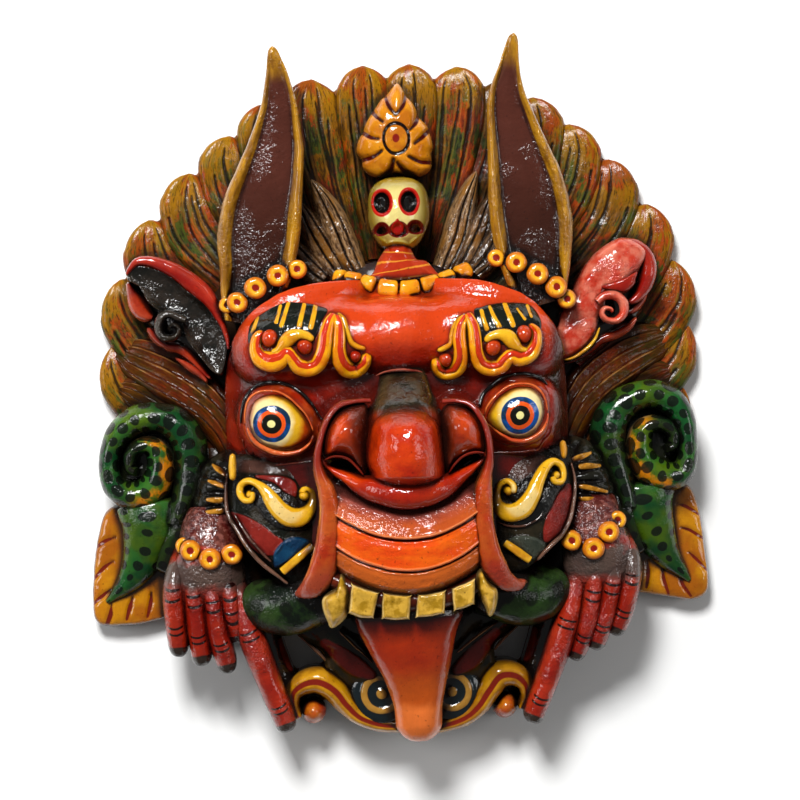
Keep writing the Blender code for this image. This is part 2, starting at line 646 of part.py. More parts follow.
def painted_wood():
    material = bpy.data.materials.new("painted_wood")
    material.use_nodes = True
    shader = material.node_tree.nodes["Principled BSDF"]
    shader.inputs["Base Color"].default_value = (0.42, 0.03, 0.012, 1.0)
    shader.inputs["Roughness"].default_value = 0.3
    shader.inputs["Metallic"].default_value = 0.0
    return material


def cutter(name, build):
    obj = make_object(name, build)
    obj.hide_render = True
    obj.display_type = "WIRE"
    return obj


def evaluated_faces(obj):
    # Faces of the object as its modifiers leave it
    view = bpy.context.evaluated_depsgraph_get()
    return len(obj.evaluated_get(view).data.polygons)


def main():
    for obj in list(bpy.data.objects):
        bpy.data.objects.remove(obj, do_unlink=True)
    mask = make_object("mask", carve)
    mask.data.materials.append(painted_wood())
    fuse = mask.modifiers.new("fuse", "REMESH")
    fuse.mode = "VOXEL"
    fuse.voxel_size = CARVING_GRAIN
    thin = mask.modifiers.new("thin", "DECIMATE")
    thin.ratio = min(SURFACE_FACES / (2.0 * evaluated_faces(mask)), 1.0)
    for name, build in (("saw", add_saw), ("hollow", add_hollow), ("sockets", add_sockets)):
        cut = mask.modifiers.new(name, "BOOLEAN")
        cut.operation = "DIFFERENCE"
        cut.solver = "EXACT"
        cut.object = cutter("cutter_" + name, build)


main()
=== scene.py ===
import math

import bpy
import numpy as np
from mathutils import Matrix, Vector


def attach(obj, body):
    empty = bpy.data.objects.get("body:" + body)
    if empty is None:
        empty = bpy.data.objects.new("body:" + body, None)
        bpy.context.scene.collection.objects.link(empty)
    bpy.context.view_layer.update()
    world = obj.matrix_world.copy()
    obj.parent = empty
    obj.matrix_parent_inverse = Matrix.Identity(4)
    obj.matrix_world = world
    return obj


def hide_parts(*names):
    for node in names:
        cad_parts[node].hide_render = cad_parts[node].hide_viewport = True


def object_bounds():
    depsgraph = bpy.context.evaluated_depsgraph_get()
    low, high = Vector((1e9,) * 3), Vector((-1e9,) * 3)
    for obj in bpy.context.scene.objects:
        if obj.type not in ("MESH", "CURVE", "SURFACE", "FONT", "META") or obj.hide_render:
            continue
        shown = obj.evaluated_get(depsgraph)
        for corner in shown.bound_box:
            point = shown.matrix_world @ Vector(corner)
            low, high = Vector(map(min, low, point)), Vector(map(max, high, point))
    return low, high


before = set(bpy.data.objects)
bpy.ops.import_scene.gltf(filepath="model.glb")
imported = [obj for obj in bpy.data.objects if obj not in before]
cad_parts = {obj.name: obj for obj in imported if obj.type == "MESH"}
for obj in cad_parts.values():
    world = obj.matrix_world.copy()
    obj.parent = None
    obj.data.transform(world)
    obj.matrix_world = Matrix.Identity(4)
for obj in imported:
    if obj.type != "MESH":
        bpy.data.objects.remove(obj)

# Carved and painted wooden mask, lying on its back and seen from above.
# Places and sizes are in the carver's millimetres: x to the right, y to the crown, z out of the face.

cadLow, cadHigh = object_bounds()
carvedHeight = 341.0                                   # crown to tongue tip in the carver's millimetres
unit = (cadHigh.y - cadLow.y) / carvedHeight           # metres in one of them
turn = 2.0 * math.pi
# Larger steps give coarser rows and fewer points round each form
rowStep, ringStep = 1.35, 1.2


# Rows, paths and noise

def catmull(rows, steps):
    # Smooth curve through rows of numbers, so widths and heights blend as places do
    rows = np.array(rows, float)
    ends = np.vstack([rows[:1], rows, rows[-1:]])
    t = np.linspace(0.0, 1.0, steps, endpoint=False)[:, None]
    out = []
    for a, b, c, d in zip(ends, ends[1:], ends[2:], ends[3:]):
        cubic = 3 * b - a - 3 * c + d
        out.append(0.5 * (2 * b + (c - a) * t + (2 * a - 5 * b + 4 * c - d) * t ** 2 + cubic * t ** 3))
    return np.vstack(out + [rows[-1:]])


def evenRows(rows, spacing):
    # The same curve with its rows a fixed distance apart, and how far along each one is
    fine = catmull(rows, 24)
    run = np.concatenate([[0.0], np.cumsum(np.linalg.norm(np.diff(fine[:, :3], axis=0), axis=1))])
    even = np.linspace(0.0, run[-1], max(int(run[-1] / spacing / rowStep), 4) + 1)
    return np.column_stack([np.interp(even, run, column) for column in fine.T]), even


def closedOutline(corners, spacing):
    # Smooth closed outline through its corners, evenly spaced
    corners = [tuple(c) + (0.0,) for c in corners]
    looped = corners[-2:] + corners + corners[:3]
    fine = catmull(looped, 16)[2 * 16:-2 * 16]
    run = np.concatenate([[0.0], np.cumsum(np.linalg.norm(np.diff(fine, axis=0), axis=1))])
    even = np.linspace(0.0, run[-1], int(run[-1] / spacing / rowStep) + 1)[:-1]
    return np.column_stack([np.interp(even, run, fine[:, 0]), np.interp(even, run, fine[:, 1])])


def valueNoise(points, cell, seed):
    # Smooth noise between -1 and 1 from a fixed lattice of numbers
    lattice = np.random.default_rng(seed).uniform(-1.0, 1.0, (32, 32, 32))
    place = points / cell + 512.0
    base = np.floor(place).astype(int)
    f = place - base
    f = f * f * (3.0 - 2.0 * f)
    total = np.zeros(len(points))
    for corner in range(8):
        step = np.array([corner & 1, corner >> 1 & 1, corner >> 2])
        weight = np.prod(np.where(step, f, 1.0 - f), axis=1)
        i, j, k = ((base + step) % 32).T
        total += weight * lattice[i, j, k]
    return total


def superCircle(angle, power):
    # Oval that squares up as power falls below 1
    c, s = np.cos(angle), np.sin(angle)
    return np.sign(c) * np.abs(c) ** power, np.sign(s) * np.abs(s) ** power


def bell(offset, width, power=2):
    return np.exp(-(offset / width) ** power)


def smoothStep(low, high, value):
    t = np.clip((value - low) / (high - low), 0.0, 1.0)
    return t * t * (3.0 - 2.0 * t)


def within(low, high, value):
    # One up to low, none past high
    return 1.0 - smoothStep(low, high, value)


def strokeField(x, y, strokes):
    # Distance to painted or cut strokes, negative inside them; a stroke is rows of x, y and half width
    field = np.full(np.shape(x), 99.0)
    for stroke in strokes:
        path = catmull(stroke, 8) if len(stroke) > 2 else np.array(stroke, float)
        for (x0, y0, w0), (x1, y1, w1) in zip(path, path[1:]):
            dx, dy = x1 - x0, y1 - y0
            t = np.clip(((x - x0) * dx + (y - y0) * dy) / (dx * dx + dy * dy + 1e-9), 0.0, 1.0)
            field = np.minimum(field, np.hypot(x - x0 - t * dx, y - y0 - t * dy) - (w0 + (w1 - w0) * t))
    return field


# Carved forms: each one is a closed skin with marks that the paint reads

def loft(rings, marks):
    count, sides = rings.shape[:2]
    first = (np.arange(count - 1) * sides)[:, None]
    here = np.arange(sides)[None, :]
    there = (here + 1) % sides
    quads = np.stack([first + here, first + there, first + sides + there, first + sides + here],
                     -1).reshape(-1, 4)
    points = rings.reshape(-1, 3)
    caps = [list(range(sides))[::-1], list(range((count - 1) * sides, count * sides))]
    a, b, c, d = (points[quads[:, k]] - points.mean(axis=0) for k in range(4))
    volume = np.einsum("ij,ij->", a, np.cross(b, c)) + np.einsum("ij,ij->", a, np.cross(c, d))
    if volume < 0.0:
        quads = quads[:, ::-1]
        caps = [cap[::-1] for cap in caps]
    flat = {name: np.broadcast_to(mark, (count, sides)).reshape(-1).astype(float)
            for name, mark in marks.items()}
    return {"points": points, "quads": quads, "caps": caps, "marks": flat}


def endRounding(run, start, end):
    # Shrinks the two ends of a strip to a round tip
    share = np.ones_like(run)
    for length, distance in ((start, run), (end, run[-1] - run)):
        if length > 0.0:
            near = 1.0 - np.clip(distance / length, 0.0, 1.0)
            share = share * np.sqrt(np.clip(1.0 - near * near, 0.0025, 1.0))
    return share


def sweep(rows, spacing=0.9, sides=22, squareness=2.0, rounded=(0.0, 0.0), shape=None):
    # Rod along rows of x, y, z, half width, half height
    path, run = evenRows(rows, spacing)
    along = np.gradient(path[:, :3], axis=0)
    along /= np.linalg.norm(along, axis=1)[:, None]
    across = np.cross(along, (0.0, 0.0, 1.0))
    across /= np.linalg.norm(across, axis=1)[:, None]
    lift = np.cross(across, along)
    shrink = endRounding(run, *rounded)
    angle = np.linspace(0.0, turn, round(sides / ringStep), endpoint=False)
    c, s = superCircle(angle, 2.0 / squareness)
    wide = (path[:, 3] * shrink)[:, None] * c
    tall = (path[:, 4] * shrink)[:, None] * s
    if shape is not None:
        tall = tall + shape(c[None, :], run[:, None], s[None, :])
    rings = path[:, None, :3] + across[:, None] * wide[..., None] + lift[:, None] * tall[..., None]
    marks = {"along": run[:, None], "across": c[None, :], "fromTip": (run[-1] - run)[:, None]}
    return loft(rings, marks)


def squared(power, soft=0.5):
    # Section of a strip, flatter on top as power grows
    return lambda across, run, length: (1.0 - np.abs(across) ** power) ** soft


def relief(rows, profile=squared(2.4, 0.62), spacing=0.9, samples=27, rounded=(0.0, 0.0), keel=1.0):
    # Strip carved up from the ground along rows of x, y, edge height, half width, rise, floor
    path, run = evenRows(rows, spacing)
    samples = round(samples / ringStep)
    along = np.gradient(path[:, :2], axis=0)
    along /= np.linalg.norm(along, axis=1)[:, None]
    side = np.column_stack([along[:, 1], -along[:, 0]])
    shrink = endRounding(run, *rounded)
    half = path[:, 3] * shrink
    across = np.sin(np.linspace(-1.0, 1.0, samples) * math.pi / 2.0 * 0.98) / math.sin(math.pi / 2.0 * 0.98)
    share = profile(across[None, :], run[:, None], run[-1])
    rings = np.zeros((len(path), samples + 2, 3))
    offset = half[:, None] * across[None, :]
    rings[:, :samples, :2] = path[:, None, :2] + side[:, None] * offset[..., None]
    rings[:, :samples, 2] = path[:, 2, None] + path[:, 4, None] * share * np.sqrt(shrink)[:, None]
    for k, sign in ((samples, 1.0), (samples + 1, -1.0)):
        rings[:, k, :2] = path[:, :2] + side * (half * keel * sign)[:, None]
        rings[:, k, 2] = path[:, 5]
    edge = np.concatenate([across, [1.0, -1.0]])
    marks = {"along": run[:, None], "across": edge[None, :], "fromTip": (run[-1] - run)[:, None]}
    return loft(rings, marks)


def dome(centre, radii, foot, top, floor, squareness=2.0, crown=0.5, spacing=0.9, shape=None):
    # Rounded mass with an oval or squarish outline; shape may move its points
    spacing = spacing * rowStep
    angle = np.linspace(0.0, turn, max(int(turn * max(radii) / spacing), 16), endpoint=False)[None, :]
    reach = np.sin(np.linspace(math.pi / 2.0, 0.03, max(int(max(radii) * 1.4 / spacing), 6)))[:, None]
    reach = np.vstack([[1.0], reach])
    c, s = superCircle(angle, 2.0 / squareness)
    x, y = centre[0] + radii[0] * reach * c, centre[1] + radii[1] * reach * s
    z = foot + (top - foot) * np.broadcast_to((1.0 - np.minimum(reach, 1.0) ** 2.0) ** crown, x.shape)
    if shape is not None:
        x, y, z = shape(x, y, z, np.broadcast_to(reach, x.shape))
    z = np.array(z)
    z[0] = floor
    return loft(np.stack([x, y, z], -1), {"reach": reach, "across": 0.0 * x, "along": y})


def plaque(corners, height, floor, spacing=0.9, centre=None):
    # Form with a free outline; height gives z from how far in a point is, and its place
    rim = closedOutline(corners, spacing)
    centre = np.array(centre) if centre is not None else rim.mean(axis=0)
    span = np.linalg.norm(rim - centre, axis=1).max()
    reach = np.linspace(1.0, 0.02, max(int(span / spacing / rowStep), 6))[:, None]
    reach = np.vstack([[1.0], reach])
    x = centre[0] + (rim[None, :, 0] - centre[0]) * reach
    y = centre[1] + (rim[None, :, 1] - centre[1]) * reach
    z = np.array(height(np.broadcast_to(reach, x.shape), x, y))
    z[0] = floor
    return loft(np.stack([x, y, z], -1), {"reach": reach, "across": 0.0 * x, "along": y})


def turned(centre, profile, floor, sides=30):
    # Round bead or boss from rows of radius and height
    rows, run = evenRows([(r, z, 0.0) for r, z in profile], 0.35)
    radius = np.concatenate([[rows[0, 0]], rows[:, 0]])[:, None]
    height = np.concatenate([[floor], rows[:, 1]])[:, None]
    angle = np.linspace(0.0, turn, sides, endpoint=False)[None, :]
    x = centre[0] + radius * np.cos(angle)
    y = centre[1] + radius * np.sin(angle)
    rings = np.stack([x, y, np.broadcast_to(height, x.shape)], -1)
    return loft(rings, {"radius": radius, "across": 0.0 * x, "along": y})


def level(rows, *rest):
    # Rows of x, y, height and the rest from rows of x, y, half width
    return [(x, y, rest[0], half, *rest[1:]) for x, y, half in rows]


def pillow(base, rise, power, soft=0.5):
    # Height of a plaque that swells from its rim
    return lambda reach, x, y: base + rise * (1.0 - reach ** power) ** soft


def strokeBell(x, y, rows, width):
    # One on the strokes, fading beside them
    return bell(np.maximum(strokeField(x, y, rows), 0.0), width)


def strokesOf(rows):
    return lambda x, y: strokeField(x, y, rows)


def mark(form, **marks):
    # Adds marks worked out from the points' places, or one number for the whole form
    for name, value in marks.items():
        if callable(value):
            value = value(form["points"][:, 0], form["points"][:, 1])
        form["marks"][name] = np.broadcast_to(value, len(form["points"])).astype(float)
    return form


carvings = []                                          # name, forms, finish


def carve(name, forms, finish):
    carvings.append((name, forms, finish))
    print("carved", name)


# Fan of feathers behind the crown

feathers = {
    "centre": (0.0, 5.0), "root": 62.0, "edge": 7.2, "relief": 6.4, "floor": 0.9,
    "shares": (0.0, 0.35, 0.7, 0.87, 0.93, 0.965, 0.988, 1.0, 1.006),
    "widths": (0.50, 0.84, 1.04, 1.02, 0.86, 0.66, 0.42, 0.22, 0.06),
    "lifts": (0.5, 0.85, 1.0, 1.0, 0.92, 0.8, 0.62, 0.45, 0.3),
    # Place across, start and end of each cut
    "gouges": ((-0.62, 0.2, 0.8), (-0.3, 0.1, 0.93), (0.02, 0.35, 0.88), (0.3, 0.08, 0.95),
        (0.62, 0.3, 0.78)),
    "gougeDepth": 0.12, "gougeWidth": 0.032, "shingle": 0.3, "halfWidth": (13.6, 6.4), "bend": 0.17,
    "slip": (-1.45, 5.5),
    # Turn from the top in degrees and reach from the centre, crown to cheek
    -1: ((5.4, 158.6), (16.6, 156.6), (27.5, 152.8), (38.6, 147.8), (51.2, 145.6), (64.9, 146.0),
        (79.1, 145.0), (92.7, 140.6), (107.2, 138.0)),
    1: ((4.1, 158.6), (13.8, 160.0), (22.9, 157.8), (31.3, 156.4), (41.2, 153.5), (52.6, 151.2),
        (65.3, 151.2), (78.5, 148.7), (90.5, 142.0), (104.0, 138.5)),
}


def gougeField(across, run, length, seed):
    # Distance to the nearest gouge line, in shares of the half width; the lines drift a little
    field = np.full(np.broadcast(across, run).shape, 9.0)
    share = run / length
    for number, (place, start, end) in enumerate(feathers["gouges"]):
        drift = 0.10 * np.sin(share * 4.0 + seed * 2.3 + number * 1.9)
        drift = drift + 0.12 * math.sin(seed * 3.1 + number * 2.2)
        outside = np.maximum(start - share, 0.0) + np.maximum(share - end, 0.0)
        field = np.minimum(field, np.hypot(across - place * (0.75 + 0.25 * share) - drift, outside * 6.0))
    return field


def feather(side, index):
    degrees, reach = feathers[side][index]
    angle = math.radians(degrees)
    narrow, wider = feathers["halfWidth"]
    half = narrow + wider * index / (len(feathers[side]) - 1)
    bend = feathers["bend"] * math.sin(angle)
    slipBy, slipPower = feathers["slip"]
    rows = []
    for share, width, lift in zip(feathers["shares"], feathers["widths"], feathers["lifts"]):
        radius = feathers["root"] + (reach - feathers["root"]) * share
        swing = angle + bend * (1.0 - share)
        slip = slipBy * half * math.sin(angle) * share ** slipPower
        x = feathers["centre"][0] + side * (radius * math.sin(swing) + slip * math.cos(swing))
        y = feathers["centre"][1] + radius * math.cos(swing) - slip * math.sin(swing)
        rows.append((x, y, feathers["edge"], half * width, feathers["relief"] * lift, feathers["floor"]))
    seed = index * 1.7 + side * 0.9

    def gouged(across, run, length):
        # Nearly flat, lower where the next one laps over it, with V cuts along it
        lap = 1.0 - feathers["shingle"] + feathers["shingle"] * side * across
        body = (1.0 - np.abs(across) ** 9.0) ** 0.5 * lap
        cut = bell(gougeField(across, run, length, seed), feathers["gougeWidth"])
        return body * (1.0 - feathers["gougeDepth"] * cut)

    form = relief(rows, gouged, spacing=1.15, samples=71)
    across, along = form["marks"]["across"], form["marks"]["along"]
    return mark(form, seed=seed, gouge=gougeField(across, along, along.max(), seed))


for side, name in ((-1, "feathersLeft"), (1, "feathersRight")):
    carve(name, [feather(side, index) for index in range(len(feathers[side]))], "feather")


# Leaves beside the skull and the plumes over the temples

innerLeaves = {
    "edge": 11.0, "rise": 8.0, "floor": 3.0, "widths": (0.75, 0.95, 0.9, 0.62, 0.1), "lifts": (4.0, 2.4, 3.0),
    # Place across, width and share of each vein
    "veins": ((-0.12, 0.07, 1.0), (0.45, 0.06, 0.7)), "veinDepth": 0.16,
    # Half width, then places from root to tip
    -1: ((8.0, (-20, 60), (-26, 74), (-31, 87), (-36, 98), (-41, 107)), (8.5, (-27, 58), (-34, 68), (-40, 79),
        (-45, 89), (-49, 97)), (8.0, (-36, 56), (-43, 62), (-49, 69), (-53, 76), (-56, 83))),
    1: ((8.0, (24, 60), (30, 73), (34, 86), (38, 98), (42, 109)), (8.5, (31, 58), (37, 68), (42, 78),
        (46, 88), (49, 97)), (8.0, (39, 58), (45, 64), (49, 71), (52, 78), (54, 85))),
}


def innerLeaf(half, places, lift, seed):
    spine = []
    for (x, y), width in zip(places, innerLeaves["widths"]):
        spine.append((x, y, innerLeaves["edge"] + lift, half * width, innerLeaves["rise"],
                      innerLeaves["floor"]))
    veins, depth = innerLeaves["veins"], innerLeaves["veinDepth"]

    def veined(across, run, length):
        vein = sum(share * bell(across - at, width) for at, width, share in veins)
        return (1.0 - np.abs(across) ** 3.4) ** 0.6 * (1.0 - depth * vein)

    form = relief(spine, veined, samples=45, rounded=(0.0, 5.0))
    across = form["marks"]["across"]
    return mark(form, seed=seed, gouge=np.minimum(*(np.abs(across - at) for at, width, share in veins)))


forms = []
for side in (-1, 1):
    for index, (half, *places) in enumerate(innerLeaves[side]):
        forms.append(innerLeaf(half, places, innerLeaves["lifts"][index], index * 2.1 + side))
carve("crownLeaves", forms, "innerLeaf")

plumes = {
    "left": (((-142, 24, 8, 3.0, 3, 0.9), (-133, 20, 9, 10.5, 6, 0.9), (-119, 14, 12, 13.5, 8, 0.9),
        (-105, 4, 15, 13.5, 9, 0.9), (-94, -7, 18, 12.0, 9, 0.9), (-85, -20, 20, 10.0, 8, 0.9),
        (-78, -36, 21, 8.0, 6, 0.9)), ((-143, 6, 8, 2.5, 3, 0.9), (-134, 3, 9, 8.5, 6, 0.9),
        (-122, -3, 10, 10.0, 7, 0.9), (-110, -12, 12, 10.0, 8, 0.9), (-100, -24, 14, 9.0, 7, 0.9),
        (-92, -40, 15, 7.0, 5, 0.9))),
    "right": (((139, 24, 8, 3.0, 3, 0.9), (130, 21, 9, 10.5, 6, 0.9), (116, 16, 12, 13.5, 8, 0.9),
        (102, 6, 15, 13.5, 9, 0.9), (92, -6, 18, 12.0, 9, 0.9), (84, -20, 20, 10.0, 8, 0.9),
        (77, -36, 21, 8.0, 6, 0.9)), ((141, 7, 8, 2.5, 3, 0.9), (132, 4, 9, 8.5, 6, 0.9),
        (120, -1, 10, 10.0, 7, 0.9), (108, -10, 12, 10.0, 8, 0.9), (98, -23, 14, 9.0, 7, 0.9),
        (91, -40, 15, 7.0, 5, 0.9))),
    "flutes": 5.0, "fluteDepth": 0.2,
}


def barbStep(across, run):
    # How far across its barb a point is, 0 to 1; the barbs sway a little
    return (plumes["flutes"] * (across + 1.0) / 2.0 + 0.25 * np.sin(run / 14.0)) % 1.0


def fluted(sign):
    # Overlapping barbs: each slopes up to a thin edge, then drops
    def profile(a, run, length):
        step = barbStep(a * sign, run)
        ledge = step ** 1.6 * (1.0 - smoothStep(0.9, 1.0, step))
        return (1.0 - np.abs(a) ** 5.0) ** 0.5 * (1.0 - plumes["fluteDepth"] + plumes["fluteDepth"] * ledge)
    return profile


for side, sign in (("left", -1.0), ("right", 1.0)):
    forms = []
    for number, rows in enumerate(plumes[side]):
        form = relief(rows, fluted(sign), spacing=1.1, samples=75, rounded=(2.0, 0.0))
        marks = form["marks"]
        step = barbStep(marks["across"] * sign, marks["along"])
        forms.append(mark(form, seed=number * 1.3 + sign, gouge=np.minimum(np.abs(step - 1.0), step) * 0.5,
                          crest=step))
    carve("plumes" + side.title(), forms, "plume")

# Ground behind the feathers' roots, the ears and the hands

ground = {
    "crownReach": 97.0, "crownHalf": 36.0, "crownTurn": 80,
    "left": ((-76, 52, 10, 14, 6, 1), (-84, 30, 10, 15, 6, 1), (-88, 6, 11, 14, 6, 1),
        (-89, -20, 12, 13, 7, 1), (-90, -45, 15, 13, 10, 1), (-88, -70, 17, 14, 11, 1),
        (-80, -92, 17, 14, 11, 1), (-66, -103, 17, 12, 10, 1)),
    "right": ((74, 54, 10, 14, 6, 1), (82, 32, 10, 15, 6, 1), (85, 8, 11, 14, 6, 1), (86, -18, 12, 13, 7, 1),
        (88, -43, 15, 13, 10, 1), (86, -68, 17, 14, 11, 1), (80, -90, 17, 14, 11, 1),
        (66, -101, 17, 12, 10, 1)),
}
arc = []
for degrees in range(-ground["crownTurn"], ground["crownTurn"] + 1, 8):
    x = ground["crownReach"] * math.sin(math.radians(degrees))
    y = feathers["centre"][1] + ground["crownReach"] * math.cos(math.radians(degrees))
    arc.append((x, y, 6.5, ground["crownHalf"], 3.0, feathers["floor"]))
carve("crownGround", [mark(relief(arc, samples=61, spacing=2.0), seed=4.0, gouge=0.3, fromTip=60.0)],
      "feather")
carve("sideGround", [relief(ground["left"], samples=21), relief(ground["right"], samples=21)], "darkGround")


# Horns: a brown hollowed front between two gold rims

horns = {
    "left": ((-75, 34, 50, 10, 6, 2), (-72, 48, 51, 15, 7, 2), (-68.5, 62, 52, 18.2, 8, 3),
        (-67, 76, 53, 20, 8, 4), (-64.5, 91, 55, 19.3, 8, 9), (-60.5, 106, 57, 16.4, 7, 17),
        (-57, 121, 59, 13.2, 6, 26), (-55, 138, 62, 8.9, 5, 38), (-55.8, 152, 65, 5.8, 4, 47),
        (-57.3, 163, 68, 3.0, 3, 58), (-57.6, 167.6, 70, 1.4, 1.6, 65)),
    "right": ((72, 40, 50, 11, 6, 2), (69, 52, 51, 15.5, 7, 2), (67.5, 66, 52, 18.4, 8, 3),
        (66.4, 80, 53, 20, 8, 4), (64.2, 96, 55, 19, 8, 9), (61, 112, 57, 15.8, 7, 17),
        (57.5, 128, 59, 12.2, 6, 26), (55.6, 142, 62, 9, 5, 38), (57, 156, 65, 5.2, 4, 47),
        (58.6, 167, 68, 2.8, 3, 58), (59.2, 171.2, 70, 1.3, 1.6, 65)),
    "rimAt": (0.0, 0.45, 0.62, 0.70, 0.80, 0.90, 0.97, 1.0),
    "rimRise": (0.52, 0.40, 0.30, 0.62, 1.00, 0.98, 0.72, 0.40),
}


def rimmed(across, run, length):
    profile = np.interp(np.abs(across), horns["rimAt"], horns["rimRise"])
    closing = smoothStep(0.0, 26.0, length - run)      # the rims meet before the tip
    return profile * closing + (1.0 - closing) * (1.0 - 0.5 * across ** 2)


for side in ("left", "right"):
    form = relief(horns[side], rimmed, samples=45, keel=0.5, rounded=(0.0, 3.0))
    carve("horn" + side.title(), [form], "horn")

beads = {
    "profile": ((4.9, -4.0), (5.2, 0.0), (5.1, 1.3), (4.6, 2.3), (3.7, 2.9), (2.5, 3.0), (2.0, 2.8),
        (1.6, 2.5), (0.05, 2.5)),
    "hornLeft": ((-83.2, 43.5, 55), (-78, 44.5, 60), (-69, 51.5, 62), (-58, 57, 62), (-48.5, 60, 58)),
    "hornRight": ((48.5, 63, 58), (58, 60.5, 62), (68, 54.5, 62), (77, 48, 60), (82.5, 42, 55)),
    "wristLeft": ((-108, -73.5, 46), (-104.5, -75.5, 52), (-95, -80, 54), (-84.5, -78, 53)),
    "wristRight": ((82, -76, 53), (92.5, -80, 54), (100, -72.5, 53), (105, -67, 47)),
    "hornLeftSizes": (0.82, 1.0, 1.03, 1.03, 0.9), "hornRightSizes": (0.82, 1.0, 1.03, 1.03, 0.9),
    "wristLeftSizes": (0.85, 1.0, 1.05, 1.0), "wristRightSizes": (1.0, 1.05, 1.0, 0.85), "root": 16.0,
}


def bead(place, size=1.0):
    profile = [(r * size, place[2] + z) for r, z in beads["profile"]]
    return turned(place[:2], profile, place[2] - beads["root"])


for key in ("hornLeft", "hornRight", "wristLeft", "wristRight"):
    sizes = beads[key + "Sizes"]
    carve("beads" + key[0].upper() + key[1:], [bead(p, s) for p, s in zip(beads[key], sizes)], "bead")


# Jewel, skull and collar on the crown

jewel = {
    "outline": ((3, 152.5), (6.5, 148.5), (8.5, 145), (11.5, 141.5), (14, 135), (18, 130.5), (19, 127),
        (20.5, 121), (19.5, 116.5), (19.5, 111), (17, 107.5), (12, 105.5), (7, 106.5), (1, 108), (-5, 105.8),
        (-11, 107.2), (-15, 111), (-15.5, 115), (-18, 119), (-17, 124), (-14, 128.5), (-12.5, 133), (-9, 139),
        (-5.5, 144), (-2, 147)),
    "centre": (2.0, 124.5), "foot": 27.0, "rise": 10.0, "ring": (6.2, 7.6), "cutDepth": 1.5, "cutWidth": 0.7,
    "ringDepth": 1.3, "ringWidth": 0.11, "boss": 0.5,
    "strokes": (((-3, 147, 0.7), (-1.5, 141, 0.8), (2, 136.5, 0.5)), ((7.4, 147, 0.7), (6, 141, 0.8),
        (2, 136.5, 0.5)), ((-10, 140, 0.9), (-8, 136, 0.9), (-4.5, 133, 0.3)), ((-15.5, 129, 1.0),
        (-11, 125.5, 0.9), (-7, 124.5, 0.3)), ((-17.5, 114.5, 0.9), (-11, 115.5, 0.9), (-5.5, 118.5, 0.3)),
        ((0.5, 114, 0.5), (-1.5, 109, 0.9), (-5, 105.5, 0.8)), ((2, 112.5, 0.5), (6, 108, 0.9),
        (11, 105.5, 0.8)), ((13.6, 137, 0.8), (12, 132.5, 0.9), (9, 129, 0.3)), ((19, 129, 0.9),
        (15, 125, 0.9), (11, 122, 0.3)), ((20, 112.5, 0.9), (14, 112.5, 0.9), (8, 115.5, 0.3))),
}


def jewelRing(x, y):
    return np.hypot((x - jewel["centre"][0]) / jewel["ring"][0], (y - jewel["centre"][1]) / jewel["ring"][1])


def jewelHeight(reach, x, y):
    ring = jewelRing(x, y)
    z = jewel["foot"] + jewel["rise"] * (1.0 - reach ** 3.0) ** 0.5
    z -= jewel["cutDepth"] * strokeBell(x, y, jewel["strokes"], jewel["cutWidth"])
    z -= jewel["ringDepth"] * bell(ring - 1.0, jewel["ringWidth"])
    return z + jewel["boss"] * within(0.2, 0.95, ring)


form = plaque(jewel["outline"], jewelHeight, 3.0, 0.7, jewel["centre"])
mark(form, stroke=strokesOf(jewel["strokes"]), ring=jewelRing)
carve("jewel", [form], "jewel")

skull = {
    "centre": (1.8, 86.6), "radii": (15.3, 18.2), "foot": 38.0, "top": 59.0, "squareness": 2.9,
    "sockets": ((-6.4, 91.6), (6.9, 91.5)), "socket": (3.9, 5.1), "narrowing": 0.22, "socketDepth": 6.0,
    "mouthDepth": 2.6, "lipRise": 1.6, "lipWidth": 0.8, "noseRise": 1.4,
    "nose": (((0.9, 82.6, 0.4), (0.9, 80.6, 1.6), (0.9, 78.6, 3.0)),),
    "mouths": ((-7.2, 77.8, 4.1), (1.3, 77.0, 4.8), (9.6, 78.0, 4.3)),
    "lips": (((-10.4, 76.0, 0.7), (-9.4, 73.2, 1.4), (-7.4, 71.6, 1.8), (-4.6, 69.8, 1.0)),
        ((-3.1, 71.1, 0.9), (0.7, 70.5, 1.8), (5.4, 70.2, 0.9)), ((6.7, 69.7, 0.9), (10.1, 71.6, 1.8),
        (12.4, 73.4, 1.4), (13.4, 75.6, 0.7))),
}


def socketField(x, y):
    fields = [np.hypot((x - cx) / skull["socket"][0], (y - cy) / skull["socket"][1])
              for cx, cy in skull["sockets"]]
    return np.minimum(*fields)


def mouthField(x, y):
    fields = [np.hypot(x - cx, (y - cy) * np.where(y < cy, 1.9, 1.0)) - r for cx, cy, r in skull["mouths"]]
    return np.minimum.reduce(fields)


def skullShape(x, y, z, reach):
    narrow = 1.0 - skull["narrowing"] * smoothStep(0.0, 20.0, skull["centre"][1] + 1.0 - y)
    x = skull["centre"][0] + (x - skull["centre"][0]) * narrow
    z = z - skull["socketDepth"] * within(0.55, 1.25, socketField(x, y))
    z = z - skull["mouthDepth"] * within(-2.2, 0.4, mouthField(x, y))
    z = z + skull["lipRise"] * strokeBell(x, y, skull["lips"], skull["lipWidth"])
    z = z + skull["noseRise"] * within(-0.6, 0.6, strokeField(x, y, skull["nose"]))
    return x, y, z


form = dome(skull["centre"], skull["radii"], skull["foot"], skull["top"], 20.0, skull["squareness"],
            crown=0.42, spacing=0.5, shape=skullShape)
mark(form, socket=socketField, mouth=mouthField, nose=strokesOf(skull["nose"]), lip=strokesOf(skull["lips"]))
carve("skull", [form], "skull")

